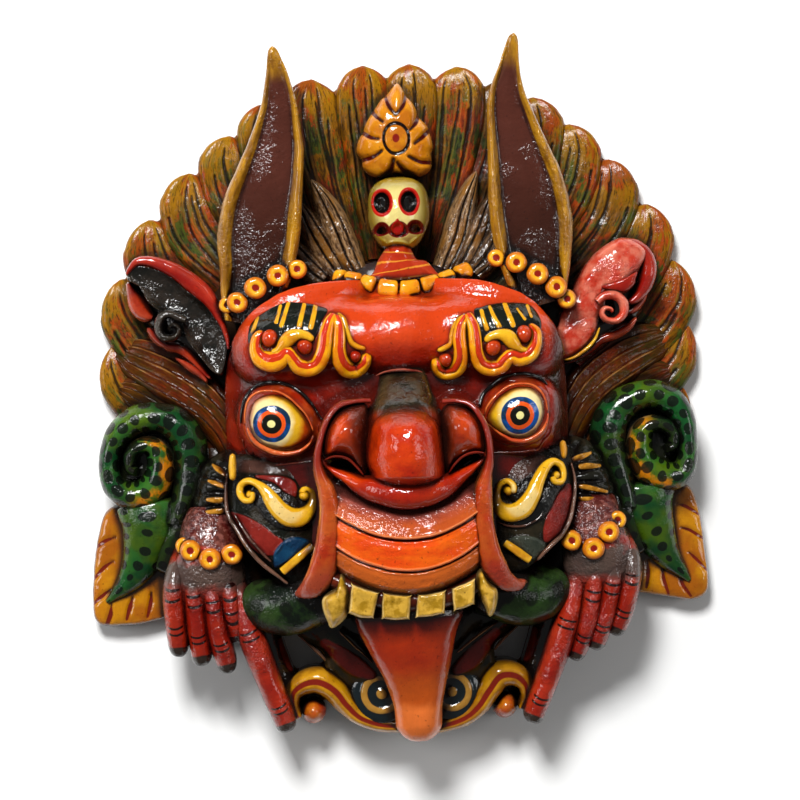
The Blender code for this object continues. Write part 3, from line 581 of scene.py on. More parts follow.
collar = {
    "skirt": ((1.2, 72, 41, 6.2, 9, 24), (1.1, 68, 43, 7.0, 10, 24), (0.8, 63, 44, 10.4, 9, 24),
        (1.6, 58.5, 45, 15.4, 8, 24), (2.0, 54, 46, 19.5, 6, 24)),
    "bar": ((-30, 56.6, 46), (-26.2, 55.4, 48.5), (-21.5, 54.3, 51), (-16.4, 52.7, 53), (-10.9, 51.1, 55),
        (-4.9, 50.0, 56.5), (1.9, 49.4, 57), (8.8, 49.7, 56.5), (14.8, 50.8, 55), (20, 52.2, 53),
        (25.2, 53.9, 51), (31.3, 56.4, 48.5), (36.4, 58.8, 46)),
    "gaps": (0.0, 0.09, 0.2, 0.33, 0.47, 0.61, 0.75, 0.88, 1.0), "barHalf": 4.2,
}
skirt = relief(collar["skirt"], samples=41)
bar = []
barPath = evenRows(collar["bar"], 0.5)[0]
for low, high in zip(collar["gaps"], collar["gaps"][1:]):
    part = barPath[int(low * (len(barPath) - 1)):int(high * (len(barPath) - 1)) + 1]
    rows = [(x, y, z - 2.0, collar["barHalf"], 4.6) for x, y, z in part[::3]]
    bar.append(sweep(rows, 0.6, 22, 2.4, rounded=(1.5, 1.5)))
carve("collar", [skirt], "collar")
carve("collarBeads", bar, "goldBar")


# Face

face = {
    "centre": (-2.0, -22.0), "half": (84.9, 76.0), "corner": 0.6, "rings": 83, "sides": 448,
    "rollOff": (25.0, 82.0, 7.0), "hollowRoom": (60.0, 63.0), "hollowMiddle": -24.0, "hollowRoof": 45.0,
    "profile": ((-104, -92, -70, -40, -10, 6, 20, 32, 42, 50, 58),
        (44, 54, 60, 62, 64, 67, 71, 69, 62, 52, 40)),
    # place, half sizes, foot, top, turn, squareness, blend
    "masses": (((0, 26), (36, 20), 56, 82, 0, 2.0, 8.0), ((0, -66), (36, 28), 60, 80, 0, 3.2, 2.0)),
    # the same for one side, mirrored to the other
    "sideMasses": (((42, 24), (40, 22), 54, 80, -8, 2.4, 6.0), ((48, 44), (34, 15), 48, 70, -12, 2.0, 6.0),
        ((57, -13), (23, 21), 54, 74, 0, 2.2, 5.0), ((28, -20), (13, 19), 62, 86, 14, 2.2, 1.5), ((61, -62),
        (23, 22), 46, 57, -30, 2.0, 2.5)),
}


def softMax(a, b, blend):
    h = np.maximum(blend - np.abs(a - b), 0.0) / blend
    return np.maximum(a, b) + h * h * blend / 4.0


def faceHeight(x, y):
    x, y = np.asarray(x, float), np.asarray(y, float)
    profile = np.array(face["profile"], float)
    k = np.clip(np.searchsorted(profile[0], y) - 1, 0, len(profile[0]) - 2)
    t = smoothStep(0.0, 1.0, (y - profile[0][k]) / (profile[0][k + 1] - profile[0][k]))
    drop, wide, power = face["rollOff"]
    height = profile[1][k] + (profile[1][k + 1] - profile[1][k]) * t - drop * np.abs(x / wide) ** power
    masses = list(face["masses"])
    for (cx, cy), radii, foot, top, tilt, squareness, blend in face["sideMasses"]:
        masses.append(((cx, cy), radii, foot, top, tilt, squareness, blend))
        masses.append(((-cx, cy), radii, foot, top, -tilt, squareness, blend))
    for (cx, cy), radii, foot, top, tilt, squareness, blend in masses:
        a = math.radians(tilt)
        u = np.abs((x - cx) * math.cos(a) + (y - cy) * math.sin(a)) / radii[0]
        v = np.abs((y - cy) * math.cos(a) - (x - cx) * math.sin(a)) / radii[1]
        inside = 1.0 - u ** squareness - v ** squareness
        raised = softMax(height, foot + (top - foot) * np.sqrt(np.maximum(inside, 0.0)), blend)
        height = np.where(inside > 0.0, raised, height)
    return height


def hollowReach(x, y):
    # One at the edge of the hollow behind the face, less inside it
    wide, tall = face["hollowRoom"]
    return np.hypot(np.abs(x) / wide, np.abs(y - face["hollowMiddle"]) / tall)


def paintedShadeOnRed(x, y):
    # Painted shade on the red: under the brows, below the eyes, round the side of the face and down the whole
    # right side
    wide = np.abs(x)
    deep = 0.9 * np.exp(-((wide - 22.0) / 17.0) ** 2 - ((y - 3.0) / 6.5) ** 2)
    deep = np.maximum(deep, 0.5 * bell(y - 4.0, 8.0))
    deep = np.maximum(deep, smoothStep(-26.0, -33.0, y) * smoothStep(30.0, 40.0, wide))
    deep = np.maximum(deep, 0.5 * smoothStep(72.0, 78.0, wide))
    return np.maximum(deep, 1.1 * smoothStep(70.0, 76.0, x))


def faceForm():
    angle = np.linspace(0.0, turn, face["sides"], endpoint=False)[None, :]
    reach = np.linspace(1.0, 0.012, face["rings"])[:, None]
    c, s = superCircle(angle, face["corner"])
    x = face["centre"][0] + face["half"][0] * reach * c
    y = face["centre"][1] + face["half"][1] * reach * s
    z = faceHeight(x, y)
    # The underside leaves room for the hollow
    under = np.linspace(0.03, 1.0, 16)[:, None]
    ux = face["centre"][0] + face["half"][0] * under * c
    uy = face["centre"][1] + face["half"][1] * under * s
    uz = np.where(hollowReach(ux, uy) < 1.0, face["hollowRoof"], 1.0)
    rings = np.concatenate([np.stack([ux, uy, uz], -1), np.stack([x, y, z], -1)])
    reach = np.concatenate([under * 0.0 + 1.0, reach])
    return loft(rings, {"reach": reach, "across": 0.0 * rings[..., 0], "along": rings[..., 1]})


carve("face", [mark(faceForm(), deep=paintedShadeOnRed)], "face")

brows = {
    "bandLeft": ((-65.4, 30, 1.3), (-68.3, 26.7, 2.7), (-69.2, 21.5, 3.2), (-67.2, 16.9, 4.4),
        (-62.5, 15.1, 5.2), (-57.6, 16.4, 4.6), (-54.2, 18.7, 3.7), (-51.9, 16.2, 3.5), (-49.1, 12.8, 3.9),
        (-44.4, 11.2, 4.1), (-39.8, 13, 4), (-37, 17.7, 4), (-35.7, 23, 3.9), (-34.8, 28.2, 3.7),
        (-33.3, 33.4, 3), (-31.5, 37, 1.7)),
    "armLeft": ((-30.3, 36.4, 1.8), (-29.2, 31.9, 2.9), (-29.2, 25.6, 3.5), (-29.6, 19.9, 3.8),
        (-28.8, 14.6, 4.1), (-25.8, 10.7, 4.4), (-21, 10.3, 4.1), (-17.3, 13.4, 3.1), (-16.2, 17.4, 2.1)),
    "sliverLeft": ((-29.8, 37.6, 1), (-27, 34.6, 1.4), (-25.2, 29.3, 1.4), (-23.7, 24, 1.4),
        (-20.7, 21.2, 1.4), (-16.4, 19.8, 1)),
    "crestLeft": ((-61.8, 19.1, 1.4), (-58.4, 20.4, 2), (-55, 23.7, 3.4), (-51.6, 26.4, 3.6),
        (-47.7, 27.5, 2.7), (-43.9, 26.5, 2.2), (-41.1, 24.5, 1.6)),
    "ballsLeft": ((-62.2, 25.8, 4.6), (-45.5, 22, 4.3), (-21.8, 16.6, 3.3)),
    "bandRight": ((62, 29.4, 1.3), (65.3, 26, 2.4), (65.4, 20.7, 3), (62.9, 15.9, 3.9), (57.8, 13.9, 4.1),
        (53.5, 14.8, 3.9), (51, 13.4, 3.7), (48.1, 10.4, 3.9), (43.2, 9.5, 4), (38.8, 11.8, 3.8),
        (36.7, 17.2, 3.7), (36.2, 22.9, 3.5), (35.4, 28.7, 3.2), (33.8, 32.8, 2.7), (32.5, 35.2, 1.7)),
    "armRight": ((31.9, 34.5, 1.8), (29.8, 30.2, 2.9), (28.9, 24, 3.5), (29.3, 18.3, 3.8), (28.9, 13, 4),
        (26.4, 9, 4.1), (21.5, 7.7, 4.1), (18.3, 10.5, 3.5), (17.7, 14.5, 2.1)),
    "sliverRight": ((30.3, 34.5, 1), (27.4, 30.7, 1.6), (25.6, 26, 1.6), (24.5, 21.5, 1.4), (21.3, 19.4, 1.4),
        (17.9, 18.1, 1)),
    "crestRight": ((61.5, 17.1, 1.3), (57.7, 18, 1.8), (54.4, 20.7, 3.2), (51.6, 23.6, 3.6),
        (47.8, 24.9, 2.7), (43.5, 24.1, 2.2), (40.6, 21.8, 1.6)),
    "ballsRight": ((59.4, 24.6, 4.5), (44.6, 19.5, 4.3), (22.4, 14.2, 4.0)), "lift": 0.6, "rise": 4.4,
    "groove": 0.06, "grooveDepth": 0.7, "patchRise": 0.8, "strokeRise": 0.35,
    "patchLeft": ((-72.3, 32.3), (-68.8, 37), (-64.4, 39.8), (-59.5, 42.1), (-53.7, 43.6), (-47.5, 43.2),
        (-40.3, 42), (-34.1, 39.5), (-37.1, 33.8), (-39.3, 27.1), (-43, 23), (-51.7, 22), (-58, 22),
        (-66.2, 25.8), (-70.6, 25), (-73, 24.7)),
    "patchRight": ((35.7, 37.1), (39.2, 38.9), (44, 40), (51.3, 40.7), (58.5, 40.3), (63.3, 39.2),
        (66.6, 35.7), (68.4, 30.9), (67.5, 26), (63, 24.1), (58.2, 21.2), (52.3, 20), (46.5, 20.6),
        (41.6, 21.8), (38.7, 23), (37.5, 29.8)),
    "patchMiddle": {"Left": (-53.0, 34.0), "Right": (51.5, 32.0)},
    "strokesLeft": (((-56.9, 41.9, 0.7), (-59, 34.3, 0.9)), ((-53, 43, 0.8), (-56.4, 32.3, 1.0)),
        ((-45.3, 42.3, 0.9), (-48, 30.6, 1.1)), ((-39.8, 41.5, 0.9), (-42.3, 31, 1.1)), ((-68.3, 37, 0.7),
        (-70.7, 29.3, 0.9))),
    "strokesRight": (((39.3, 36.9, 0.8), (41.9, 28.2, 1.0)), ((43.4, 38.7, 0.7), (47.7, 28.5, 1.0)),
        ((51.1, 39.9, 1.0), (54.2, 29.3, 1.2)), ((56.9, 37.4, 0.4), (60.3, 32, 0.6)), ((62.2, 38.7, 0.7),
        (63.7, 33.3, 0.6))),
}


def onFace(rows, lift, rise):
    # Rows of x, y, half width laid on the face
    out = []
    for x, y, half in rows:
        out.append((x, y, float(faceHeight(x, y)) + lift, half, rise * min(1.0, 0.45 + half / 5.0)))
    return out


def browStrip(rows, side):
    # Flat-topped strip with a groove where its two colours meet; outer is 1 at its lower and outer edge
    sign = 1.0 if side == "Left" else -1.0

    def grooved(c, run, s):
        cut = bell(c * sign - brows["groove"], 0.11) + 0.7 * bell(c * sign + 0.62, 0.09)
        return -brows["grooveDepth"] * cut * (s > 0.1)

    form = sweep(onFace(rows, brows["lift"], brows["rise"]), 0.55, 42, 2.4, rounded=(1.6, 1.6), shape=grooved)
    return mark(form, outer=form["marks"]["across"] * sign)


for side in ("Left", "Right"):
    carve("browBand" + side, [browStrip(brows["band" + side], side), browStrip(brows["arm" + side], side)],
          "browBand")
    crests = [sweep(onFace(brows["crest" + side], 1.2, 3.4), 0.6, 20, rounded=(1.5, 1.5))]
    crests.append(sweep(onFace(brows["sliver" + side], 0.4, 2.8), 0.6, 16, rounded=(1.2, 1.2)))
    balls = []
    for x, y, radius in brows["balls" + side]:
        z = float(faceHeight(x, y))
        balls.append(dome((x, y), (radius, radius * 1.02), z - 1.0, z + 4.6, z - 6.0, spacing=0.5))
    cuts = brows["strokes" + side]

    def patch(reach, x, y):
        raised = brows["strokeRise"] * within(-0.3, 0.4, strokeField(x, y, cuts))
        return faceHeight(x, y) + brows["patchRise"] * (1.0 - reach ** 9.0) ** 0.5 + raised

    hair = plaque(brows["patch" + side], patch, 58.0, 0.45, brows["patchMiddle"][side])
    carve("browHair" + side, [mark(hair, stroke=strokesOf(cuts))], "browHair")
    carve("browCrest" + side, crests, "browCrest")
    carve("browBalls" + side, balls, "browBall")


# Eyes

eyes = {
    "Left": {
        "ball": ((-73.5, -13.6), (-73, -8.8), (-70.9, -4.1), (-67.9, -1.6), (-63, -0.4), (-58.3, -1.3),
            (-54.1, -3.2), (-50.6, -6.3), (-47.7, -10.2), (-44.8, -15), (-43.6, -18.9), (-45, -22.2),
            (-48.7, -24.5), (-53.6, -26.5), (-58.4, -27.3), (-63.2, -27), (-67.3, -25.5), (-70.5, -22.1),
            (-72.8, -17.8)),
        "lid": ((-76.9, -13.8), (-76.2, -8.2), (-74.3, -2.6), (-70.8, 1.8), (-66.2, 4.0), (-61.8, 4.3),
            (-57, 3.9), (-52.5, 2.1), (-48.2, -1.4), (-44.7, -5.5), (-41.6, -10.1), (-39.4, -14.6),
            (-39.8, -18.8), (-41.2, -23.5), (-44.2, -27.5), (-49.5, -30.2), (-55.5, -31.3), (-62.3, -30.8),
            (-68, -28.6), (-73, -25.2), (-76, -19.6)),
        "ridge": ((-75.5, -14.7, 0.4), (-75.4, -8.7, 0.5), (-72.7, -2.2, 0.6), (-68.4, 1, 0.6),
            (-63, 1.4, 0.6), (-58.2, 0.3, 0.6), (-53.5, -2.7, 0.6), (-50, -6.3, 0.6), (-46.5, -10.6, 0.5),
            (-44, -15.6, 0.5), (-42.9, -19.3, 0.4)),
        "lower": ((-74.6, -16, 0.5), (-72.6, -20.8, 0.9), (-68.6, -25.5, 1.1), (-62.6, -28.4, 1.2),
            (-55.5, -29.1, 1.1), (-48.8, -27.8, 0.9), (-44.5, -24.6, 0.7), (-42.9, -20.5, 0.4)),
        "lash": ((-77.7, -14.2, 0.4), (-77.1, -8.7, 0.8), (-75, -2.2, 1.1), (-71.1, 2.8, 1.1),
            (-66.2, 4.9, 1.1), (-61.7, 5.2, 1.0), (-56.9, 4.7, 1.0), (-52.3, 2.8, 1.0), (-47.6, -0.8, 1.0),
            (-44, -4.9, 0.9), (-40.8, -9.7, 0.7), (-38.4, -14, 0.4)),
        "under": ((-77.3, -22, 0.3), (-76.8, -26.2, 0.5), (-74.5, -29.9, 0.6), (-71.6, -33.7, 0.7),
            (-68.3, -35, 0.7), (-62.9, -34.9, 0.7), (-52.6, -34.2, 0.6), (-43, -33.2, 0.4)),
        "middle": (-58.5, -14.0), "pupil": (-62.5, -14.8),
    },
    "Right": {
        "ball": ((41.2, -14.7), (43.3, -9.7), (47.7, -4.1), (52.9, -1), (57.7, 0), (62.8, -0.7), (67, -4.3),
            (68.8, -9.2), (68.7, -14), (67.3, -18.2), (64.3, -22.3), (60.1, -24.4), (55.2, -24.9),
            (50.5, -23.6), (45.7, -21.2), (42.5, -18.1)),
        "lid": ((38.2, -13.2), (39.7, -7), (43.2, -1.8), (48, 2.4), (53.7, 5.0), (58.6, 5.3), (63.6, 4.8),
            (68, 2.1), (71, -1.8), (72, -7.5), (72.2, -12.9), (71.6, -17.9), (70, -22.8), (66.1, -26.6),
            (61.5, -28.5), (55.9, -28.9), (50.3, -28), (44.7, -25.4), (40.5, -21.4), (38.7, -17.4)),
        "ridge": ((40, -14.4, 0.4), (41.3, -9.9, 0.5), (44.5, -5.2, 0.6), (48.8, -1.3, 0.6), (53, 0.9, 0.6),
            (57.8, 1.4, 0.6), (63.2, 0.3, 0.6), (67.3, -3.1, 0.6), (69.3, -7.7, 0.5), (70, -12.8, 0.4)),
        "lower": ((70.2, -13.4, 0.4), (69.7, -17.6, 0.7), (67.1, -22.1, 0.9), (62.8, -25.1, 1.1),
            (58, -26.2, 1.1), (52.9, -25.6, 1.0), (48.7, -23.4, 0.8), (44.6, -20.5, 0.6), (41.1, -17.4, 0.4)),
        "lash": ((37.6, -9.8, 0.6), (39.8, -3.7, 1.0), (44.4, 0.9, 1.1), (50, 4.8, 1.1), (56.2, 6.1, 1.1),
            (62.2, 5.8, 1.1), (67.2, 4, 1.0), (71.4, 0.3, 0.5)),
        "under": ((43.2, -32.6, 0.4), (48, -31.8, 0.6), (57.7, -31.8, 0.7), (62.6, -31, 0.7),
            (66.2, -30.5, 0.6), (68.7, -26.7, 0.5), (71.8, -23.8, 0.4), (73.2, -19, 0.3)),
        "middle": (56.0, -12.5), "pupil": (56.6, -13.9),
    },
    "foot": 73.5, "bulge": 7.5, "edge": (76.6, 1.5), "lidRise": 2.2,
}


for side in ("Left", "Right"):
    own = eyes[side]
    lid = lambda reach, x, y: faceHeight(x, y) + eyes["lidRise"] * (1.0 - reach ** 6.0) ** 0.5
    carve("eyelid" + side, [plaque(own["lid"], lid, 60.0, 0.6, own["middle"])], "lid")
    ball = plaque(own["ball"], pillow(eyes["foot"], eyes["bulge"], 2.2, 0.6), 62.0, 0.45, own["middle"])
    mark(ball, pupil=lambda x, y: np.hypot(x - own["pupil"][0], y - own["pupil"][1]),
         inner=lambda x, y: (x - own["pupil"][0]) * (1.0 if side == "Left" else -1.0))
    carve("eyeball" + side, [ball], "eye")
    edges = [sweep(level(own[key], *eyes["edge"]), 0.6, 12, rounded=(0.8, 0.8)) for key in ("ridge", "lower")]
    carve("lidEdge" + side, edges, "lidEdge")
    carve("lash" + side, [sweep(onFace(own["lash"], 0.3, 1.9), 0.6, 12, rounded=(1.0, 1.0))], "blackLine")
    carve("lidFold" + side, [sweep(onFace(own["under"], -0.3, 2.2), 0.6, 12, rounded=(1.0, 1.0))], "foldEdge")


# Nose, its wings and the folds that frame the muzzle

nose = {
    "outline": ((2.4, -3.7), (-3.5, -4.1), (-8.3, -5.7), (-12.5, -8.9), (-15, -12.6), (-17.2, -20.9),
        (-18.2, -31.5), (-17.6, -36.2), (-16.3, -39.8), (-14, -47.2), (-9.4, -53), (-5, -56.8), (0, -58.6),
        (4.2, -58.7), (8.9, -57.3), (13.6, -54.4), (17.2, -49.6), (19.3, -43.6), (20.1, -37.3), (19.7, -29),
        (19.1, -21.9), (17.5, -14.7), (15.3, -10.5), (13, -6.9), (8.3, -4.2)),
    "middle": (1.2, -28.0), "foot": 84.0, "wall": 21.0, "dome": 11.5, "floor": 62.0, "creaseAt": -41.5,
    "underDrop": 24.0, "underLength": 12.0, "bridgeDrop": 9.0, "shine": (3.5, 5.0, 0.9),
    "wingBall": (27.0, -19.0, 9.5, 11.0, 7.5), "wingMiddle": -20.5, "wingRise": 13.0,
    "nostril": (82.0, -5.0, 2.0), "rim": (92.5, 3.0),
    "bridge": ((0.4, 14, 58, 9.5, 5, 56), (0.6, 11, 64, 10.4, 6.5, 56), (0.8, 8, 69, 11.4, 8, 56),
        (1.2, 4, 72, 12.2, 11.5, 56), (1.4, -1, 75, 13.4, 14.5, 56), (1.5, -6, 78, 15.6, 18, 56),
        (1.3, -11, 78, 18.0, 21.5, 56), (1.0, -17, 78, 19.0, 23, 56), (1.0, -24, 76, 18.0, 20, 56)),
    "ridge": ((-11.5, 7.2, 71.5, 0.4, 2), (-7, 8.6, 75.0, 0.7, 2.4), (0.6, 9.2, 76.8, 0.9, 2.6),
        (8, 8.5, 75.0, 0.7, 2.4), (12.5, 6.9, 71.5, 0.4, 2)),
    "wingLeft": ((-37.6, -31), (-38.2, -26.3), (-37.7, -21.5), (-35.2, -15.7), (-30.9, -10.1), (-26, -7),
        (-21.3, -6), (-16.8, -6.7), (-15.5, -13.8), (-15.5, -20.9), (-16, -31.6), (-18.2, -40.5),
        (-23.3, -34.6), (-27.9, -31.5), (-33.2, -30.8)),
    "wingRight": ((38.6, -30.8), (38.9, -26.1), (38.3, -20.7), (35.5, -14.1), (30.9, -9.5), (25.6, -7.4),
        (21.2, -7.6), (18, -12.5), (17.6, -22), (17.6, -32.7), (19.9, -40.4), (23.6, -36.9), (29, -33.4),
        (33.8, -31.6)),
    "nostrilLeft": ((-35.5, -35), (-29, -33), (-24, -35), (-19, -40.5), (-19, -44.5), (-27, -43.5),
        (-32, -40)),
    "nostrilRight": ((23.5, -40.5), (25.5, -36), (30.5, -33), (36, -31.6), (36.5, -34.5), (29.5, -40),
        (24, -43)),
    "rimLeft": ((-38, -32.6, 0.4), (-33, -30.8, 0.7), (-27, -31.8, 0.8), (-22.4, -36, 0.7),
        (-19, -40.5, 0.4)),
    "rimRight": ((38.6, -31.6, 0.4), (34, -30.8, 0.7), (29, -32, 0.8), (24.6, -35.8, 0.7), (21, -40.5, 0.4)),
    "under": ((-39.4, -29.6, 83, 0.6, 6), (-38.0, -34.0, 83, 1.3, 6.4), (-33.6, -38.0, 83, 2.0, 7),
        (-27, -41.4, 84, 3.2, 7.8), (-19.5, -45.4, 86, 5.2, 9.4), (-11, -48.2, 89.5, 6.8, 11.4),
        (-2, -49.6, 91.5, 7.4, 12.4), (6, -49.6, 91.5, 7.4, 12.4), (14, -48.2, 89.5, 6.8, 11.4),
        (21.4, -45.2, 86, 5.2, 9.4), (28, -41.2, 84, 3.2, 7.8), (34, -37.4, 83, 2.0, 7),
        (38.2, -33.6, 83, 1.3, 6.4), (39.8, -29.4, 83, 0.6, 6)),
}


def noseHeight(reach, x, y):
    z = nose["foot"] + nose["wall"] * (1.0 - reach ** 3.4) ** 0.5 + nose["dome"] * (1.0 - reach ** 2.0)
    under = np.clip((nose["creaseAt"] - y) / nose["underLength"], 0.0, 1.0)
    z = z - nose["underDrop"] * under + 0.3 * bell(y - nose["creaseAt"], 0.9)
    z = z - nose["bridgeDrop"] * smoothStep(-19.0, -3.0, y)
    place, width, rise = nose["shine"]
    return z + rise * bell(x - place, width) * smoothStep(-44.0, -36.0, y)


carve("nose", [plaque(nose["outline"], noseHeight, nose["floor"], 0.6, nose["middle"])], "nose")
bridge = mark(relief(nose["bridge"], squared(3.2), samples=41), along=lambda x, y: y)
carve("noseBridge", [bridge], "nose")
carve("noseRidge", [sweep(nose["ridge"], 0.6, 14, rounded=(1.0, 1.0))], "foldEdge")
wings, nostrils, rims = [], [], []
place, high, wide, tall, rise = nose["wingBall"]
for side, sign in (("Left", -1.0), ("Right", 1.0)):

    def swell(reach, x, y):
        ball = np.exp(-((x - sign * place) / wide) ** 2 - ((y - high) / tall) ** 2)
        wing = nose["foot"] + nose["wingRise"] * (1.0 - reach ** 3.2) ** 0.5
        return wing + rise * ball * (1.0 - reach ** 3.0)

    wings.append(plaque(nose["wing" + side], swell, nose["floor"], 0.6, (sign * place, nose["wingMiddle"])))
    nostrils.append(plaque(nose["nostril" + side], pillow(*nose["nostril"]), nose["floor"], 0.7))
    rims.append(sweep(level(nose["rim" + side], *nose["rim"]), 0.7, 14, rounded=(1.5, 1.5)))
carve("noseLobe", [mark(sweep(nose["under"], 0.7, 40, 2.3, rounded=(1.5, 1.5)), along=lambda x, y: y)],
      "nose")
carve("noseWings", wings, "wing")
# The nostrils are black: painted shade in the nostril holes
carve("nostrils", nostrils, "nostril")
carve("nostrilRims", rims, "noseRim")

folds = {
    "Left": ((-15.5, -5, 1.2), (-22, -5, 1.2), (-29, -6.5, 1.6), (-34, -11, 1.7), (-37.5, -17.5, 1.8),
        (-39.8, -25, 1.9), (-41, -33, 2.3), (-39.8, -40, 3.2), (-37.2, -47, 4.4), (-35.7, -56, 5.2),
        (-36.2, -65, 5.4), (-37.2, -74, 6.2), (-38.7, -82, 7.0), (-41.5, -89.5, 6.8), (-46, -94.5, 4.8),
        (-51, -97, 2.0)),
    "Right": ((20, -6, 1.2), (25.5, -6, 1.2), (32, -8, 1.5), (36, -13, 1.7), (39, -19.5, 1.8),
        (40.7, -27.5, 1.9), (40.7, -34.5, 2.3), (39.2, -41.5, 3.2), (37.7, -49, 4.4), (37.2, -61, 5.2),
        (38.2, -69, 5.2), (39.7, -78, 5.8), (42.2, -86, 6.4), (46, -92, 5.0), (51, -95, 3.0), (55, -95, 1.2)),
    "height": (86, 87, 87, 87, 86.5, 86, 85, 83.5, 82, 80.5, 79, 77, 74.5, 72, 68, 64),
    "thick": (4, 5, 6.5, 8, 9, 10, 10, 10.5, 11, 11, 11, 11, 10.5, 9.5, 8, 5),
}
for side in ("Left", "Right"):
    rows = [(x, y, z, half, thick) for (x, y, half), z,
            thick in zip(folds[side], folds["height"], folds["thick"])]
    carve("fold" + side, [sweep(rows, 0.7, 34, 3.0)], "fold")

muzzle = {
    "middle": 1.0, "half": 35.0, "bow": 12.5, "droop": 8.0,
    "at": (-49, -53, -56, -60, -66, -71, -72.4, -76, -84, -86.4, -87.6, -91, -95, -98.5),
    "height": (85, 86, 88, 93, 97, 98.2, 96.0, 96.6, 95.4, 94.8, 93.4, 93.2, 91.6, 86.5),
    "grooves": (-71.9, -87.0), "grooveDepth": 1.5,
}


def muzzleForm():
    # Upper lip: bands that follow one curve, with a cut line between each two
    v = np.arange(muzzle["at"][0], muzzle["at"][-1] - 0.01, -0.45)[:, None]
    u = np.sin(np.linspace(-1.0, 1.0, 95) * math.pi / 2.0)[None, :]
    x = muzzle["middle"] + muzzle["half"] * u + 0.0 * v
    y = v + muzzle["bow"] * u ** 2
    z = np.interp(-v, -np.array(muzzle["at"], float), muzzle["height"]) - muzzle["droop"] * np.abs(u) ** 2.6
    for at in muzzle["grooves"]:
        z = z - muzzle["grooveDepth"] * bell(v - at, 0.5) * (1.0 - 0.3 * np.abs(u))
        z = z + 0.45 * np.exp(-((v - at - 1.3) / 0.6) ** 2) + 0.35 * np.exp(-((v - at + 1.2) / 0.6) ** 2)
    rings = np.zeros((len(v), u.shape[1] + 2, 3))
    rings[:, :-2] = np.stack([x, y, z], -1)
    rings[:, -2], rings[:, -1] = rings[:, -3], rings[:, 0]
    rings[:, -2:, 2] = 60.0
    edge = np.concatenate([u[0], [1.0, -1.0]])
    return loft(rings, {"band": v, "across": edge[None, :], "along": v})


carve("muzzle", [muzzleForm()], "muzzle")


# Teeth and tongue

teeth = {
    "broad": (((-26.8, -91.8), (-20.1, -94.4), (-13.3, -96.6), (-14.8, -102.9), (-16.5, -109.3),
        (-22.5, -108.9), (-28.3, -106.4), (-27.8, -99.2)), ((-12.3, -96.3), (-5.1, -97.5), (2.3, -98.2),
        (1.8, -104.3), (0.7, -110.1), (-6, -110.5), (-12.7, -109.5), (-12.8, -102.8)), ((4.5, -97.8),
        (11.5, -97.3), (18.8, -96.2), (18.5, -102), (17.8, -107.7), (10.7, -109.1), (3.5, -109.5),
        (3.8, -103.6)), ((20.9, -95.8), (26.8, -93.7), (32.7, -91.2), (32.6, -97.3), (32.1, -103.7),
        (27.2, -105.8), (22.1, -106.8), (21.3, -101.1))),
    "fangs": (((-30.9, -86.7), (-28.3, -91), (-26.8, -94.6), (-26.5, -101.3), (-29.4, -109.1),
        (-36.1, -114.1), (-38.7, -110.4), (-40.6, -104.3), (-40.2, -98.8), (-34.3, -94.5), (-32.7, -90.1)),
        ((35.5, -86.6), (37.8, -90.3), (40.1, -94), (43.6, -97.3), (43.5, -102.8), (41.8, -108.8),
        (39.3, -110.7), (37.1, -105.3), (33.7, -99), (32.4, -94.3), (33.1, -89.5))),
    "gum": ((-34, -91, 74, 4.5, 7), (-20, -97.5, 77, 5.5, 8), (-4, -101, 78.5, 5.5, 8),
        (10, -101, 78.5, 5.5, 8), (24, -98, 77, 5.5, 8), (36, -92, 74, 4.5, 7)),
    "foot": 82.0, "thick": 8.0, "neck": -94.0, "lean": 0.10, "dip": 0.7, "fangFoot": 76.0, "fangRise": 10.5,
    "fangNeck": -97.0, "fangLean": 0.2,
}


def squareCorners(corners):
    # Doubles the corner points, so the smooth outline keeps them
    out = []
    for index, (x, y) in enumerate(corners):
        out.append((x, y))
        if index % 2 == 0:
            out.append((x, y))
    return out


def toothHeight(reach, x, y):
    crown = teeth["foot"] + teeth["thick"] * (1.0 - reach ** 9.0) ** 0.5
    return crown - teeth["lean"] * (teeth["neck"] - y) - teeth["dip"] * smoothStep(0.8, 0.0, reach)


carve("teeth", [plaque(squareCorners(corners), toothHeight, 66.0, 0.5) for corners in teeth["broad"]],
      "tooth")


def fangHeight(reach, x, y):
    lean = teeth["fangLean"] * np.maximum(teeth["fangNeck"] - y, 0.0)
    return teeth["fangFoot"] + teeth["fangRise"] * (1.0 - reach ** 3.0) ** 0.6 - lean


carve("fangs", [plaque(corners, fangHeight, 60.0, 0.5) for corners in teeth["fangs"]], "tooth")
carve("gum", [sweep(teeth["gum"], 0.9, 22)], "gum")

tongue = {
    "rows": ((1, -97, 62, 27, 12, 20), (1, -106, 63.5, 26.6, 12.5, 20), (1, -113, 63.5, 25.8, 12.5, 20),
        (2, -123, 60, 21.8, 12.5, 20), (3.5, -135, 55, 17.6, 12, 20), (4.3, -146, 50, 14.4, 11.5, 24),
        (4.6, -154, 47, 12.4, 11.5, 28), (4.7, -160, 45, 11.7, 12.5, 30), (4.8, -166, 43.5, 11.4, 12.5, 31),
        (4.6, -173.4, 42, 10.6, 10.5, 32)),
}
carve("tongue", [relief(tongue["rows"], squared(2.8), samples=45, rounded=(0.0, 9.5))], "tongue")


# Cheeks, moustache and the leaf below it

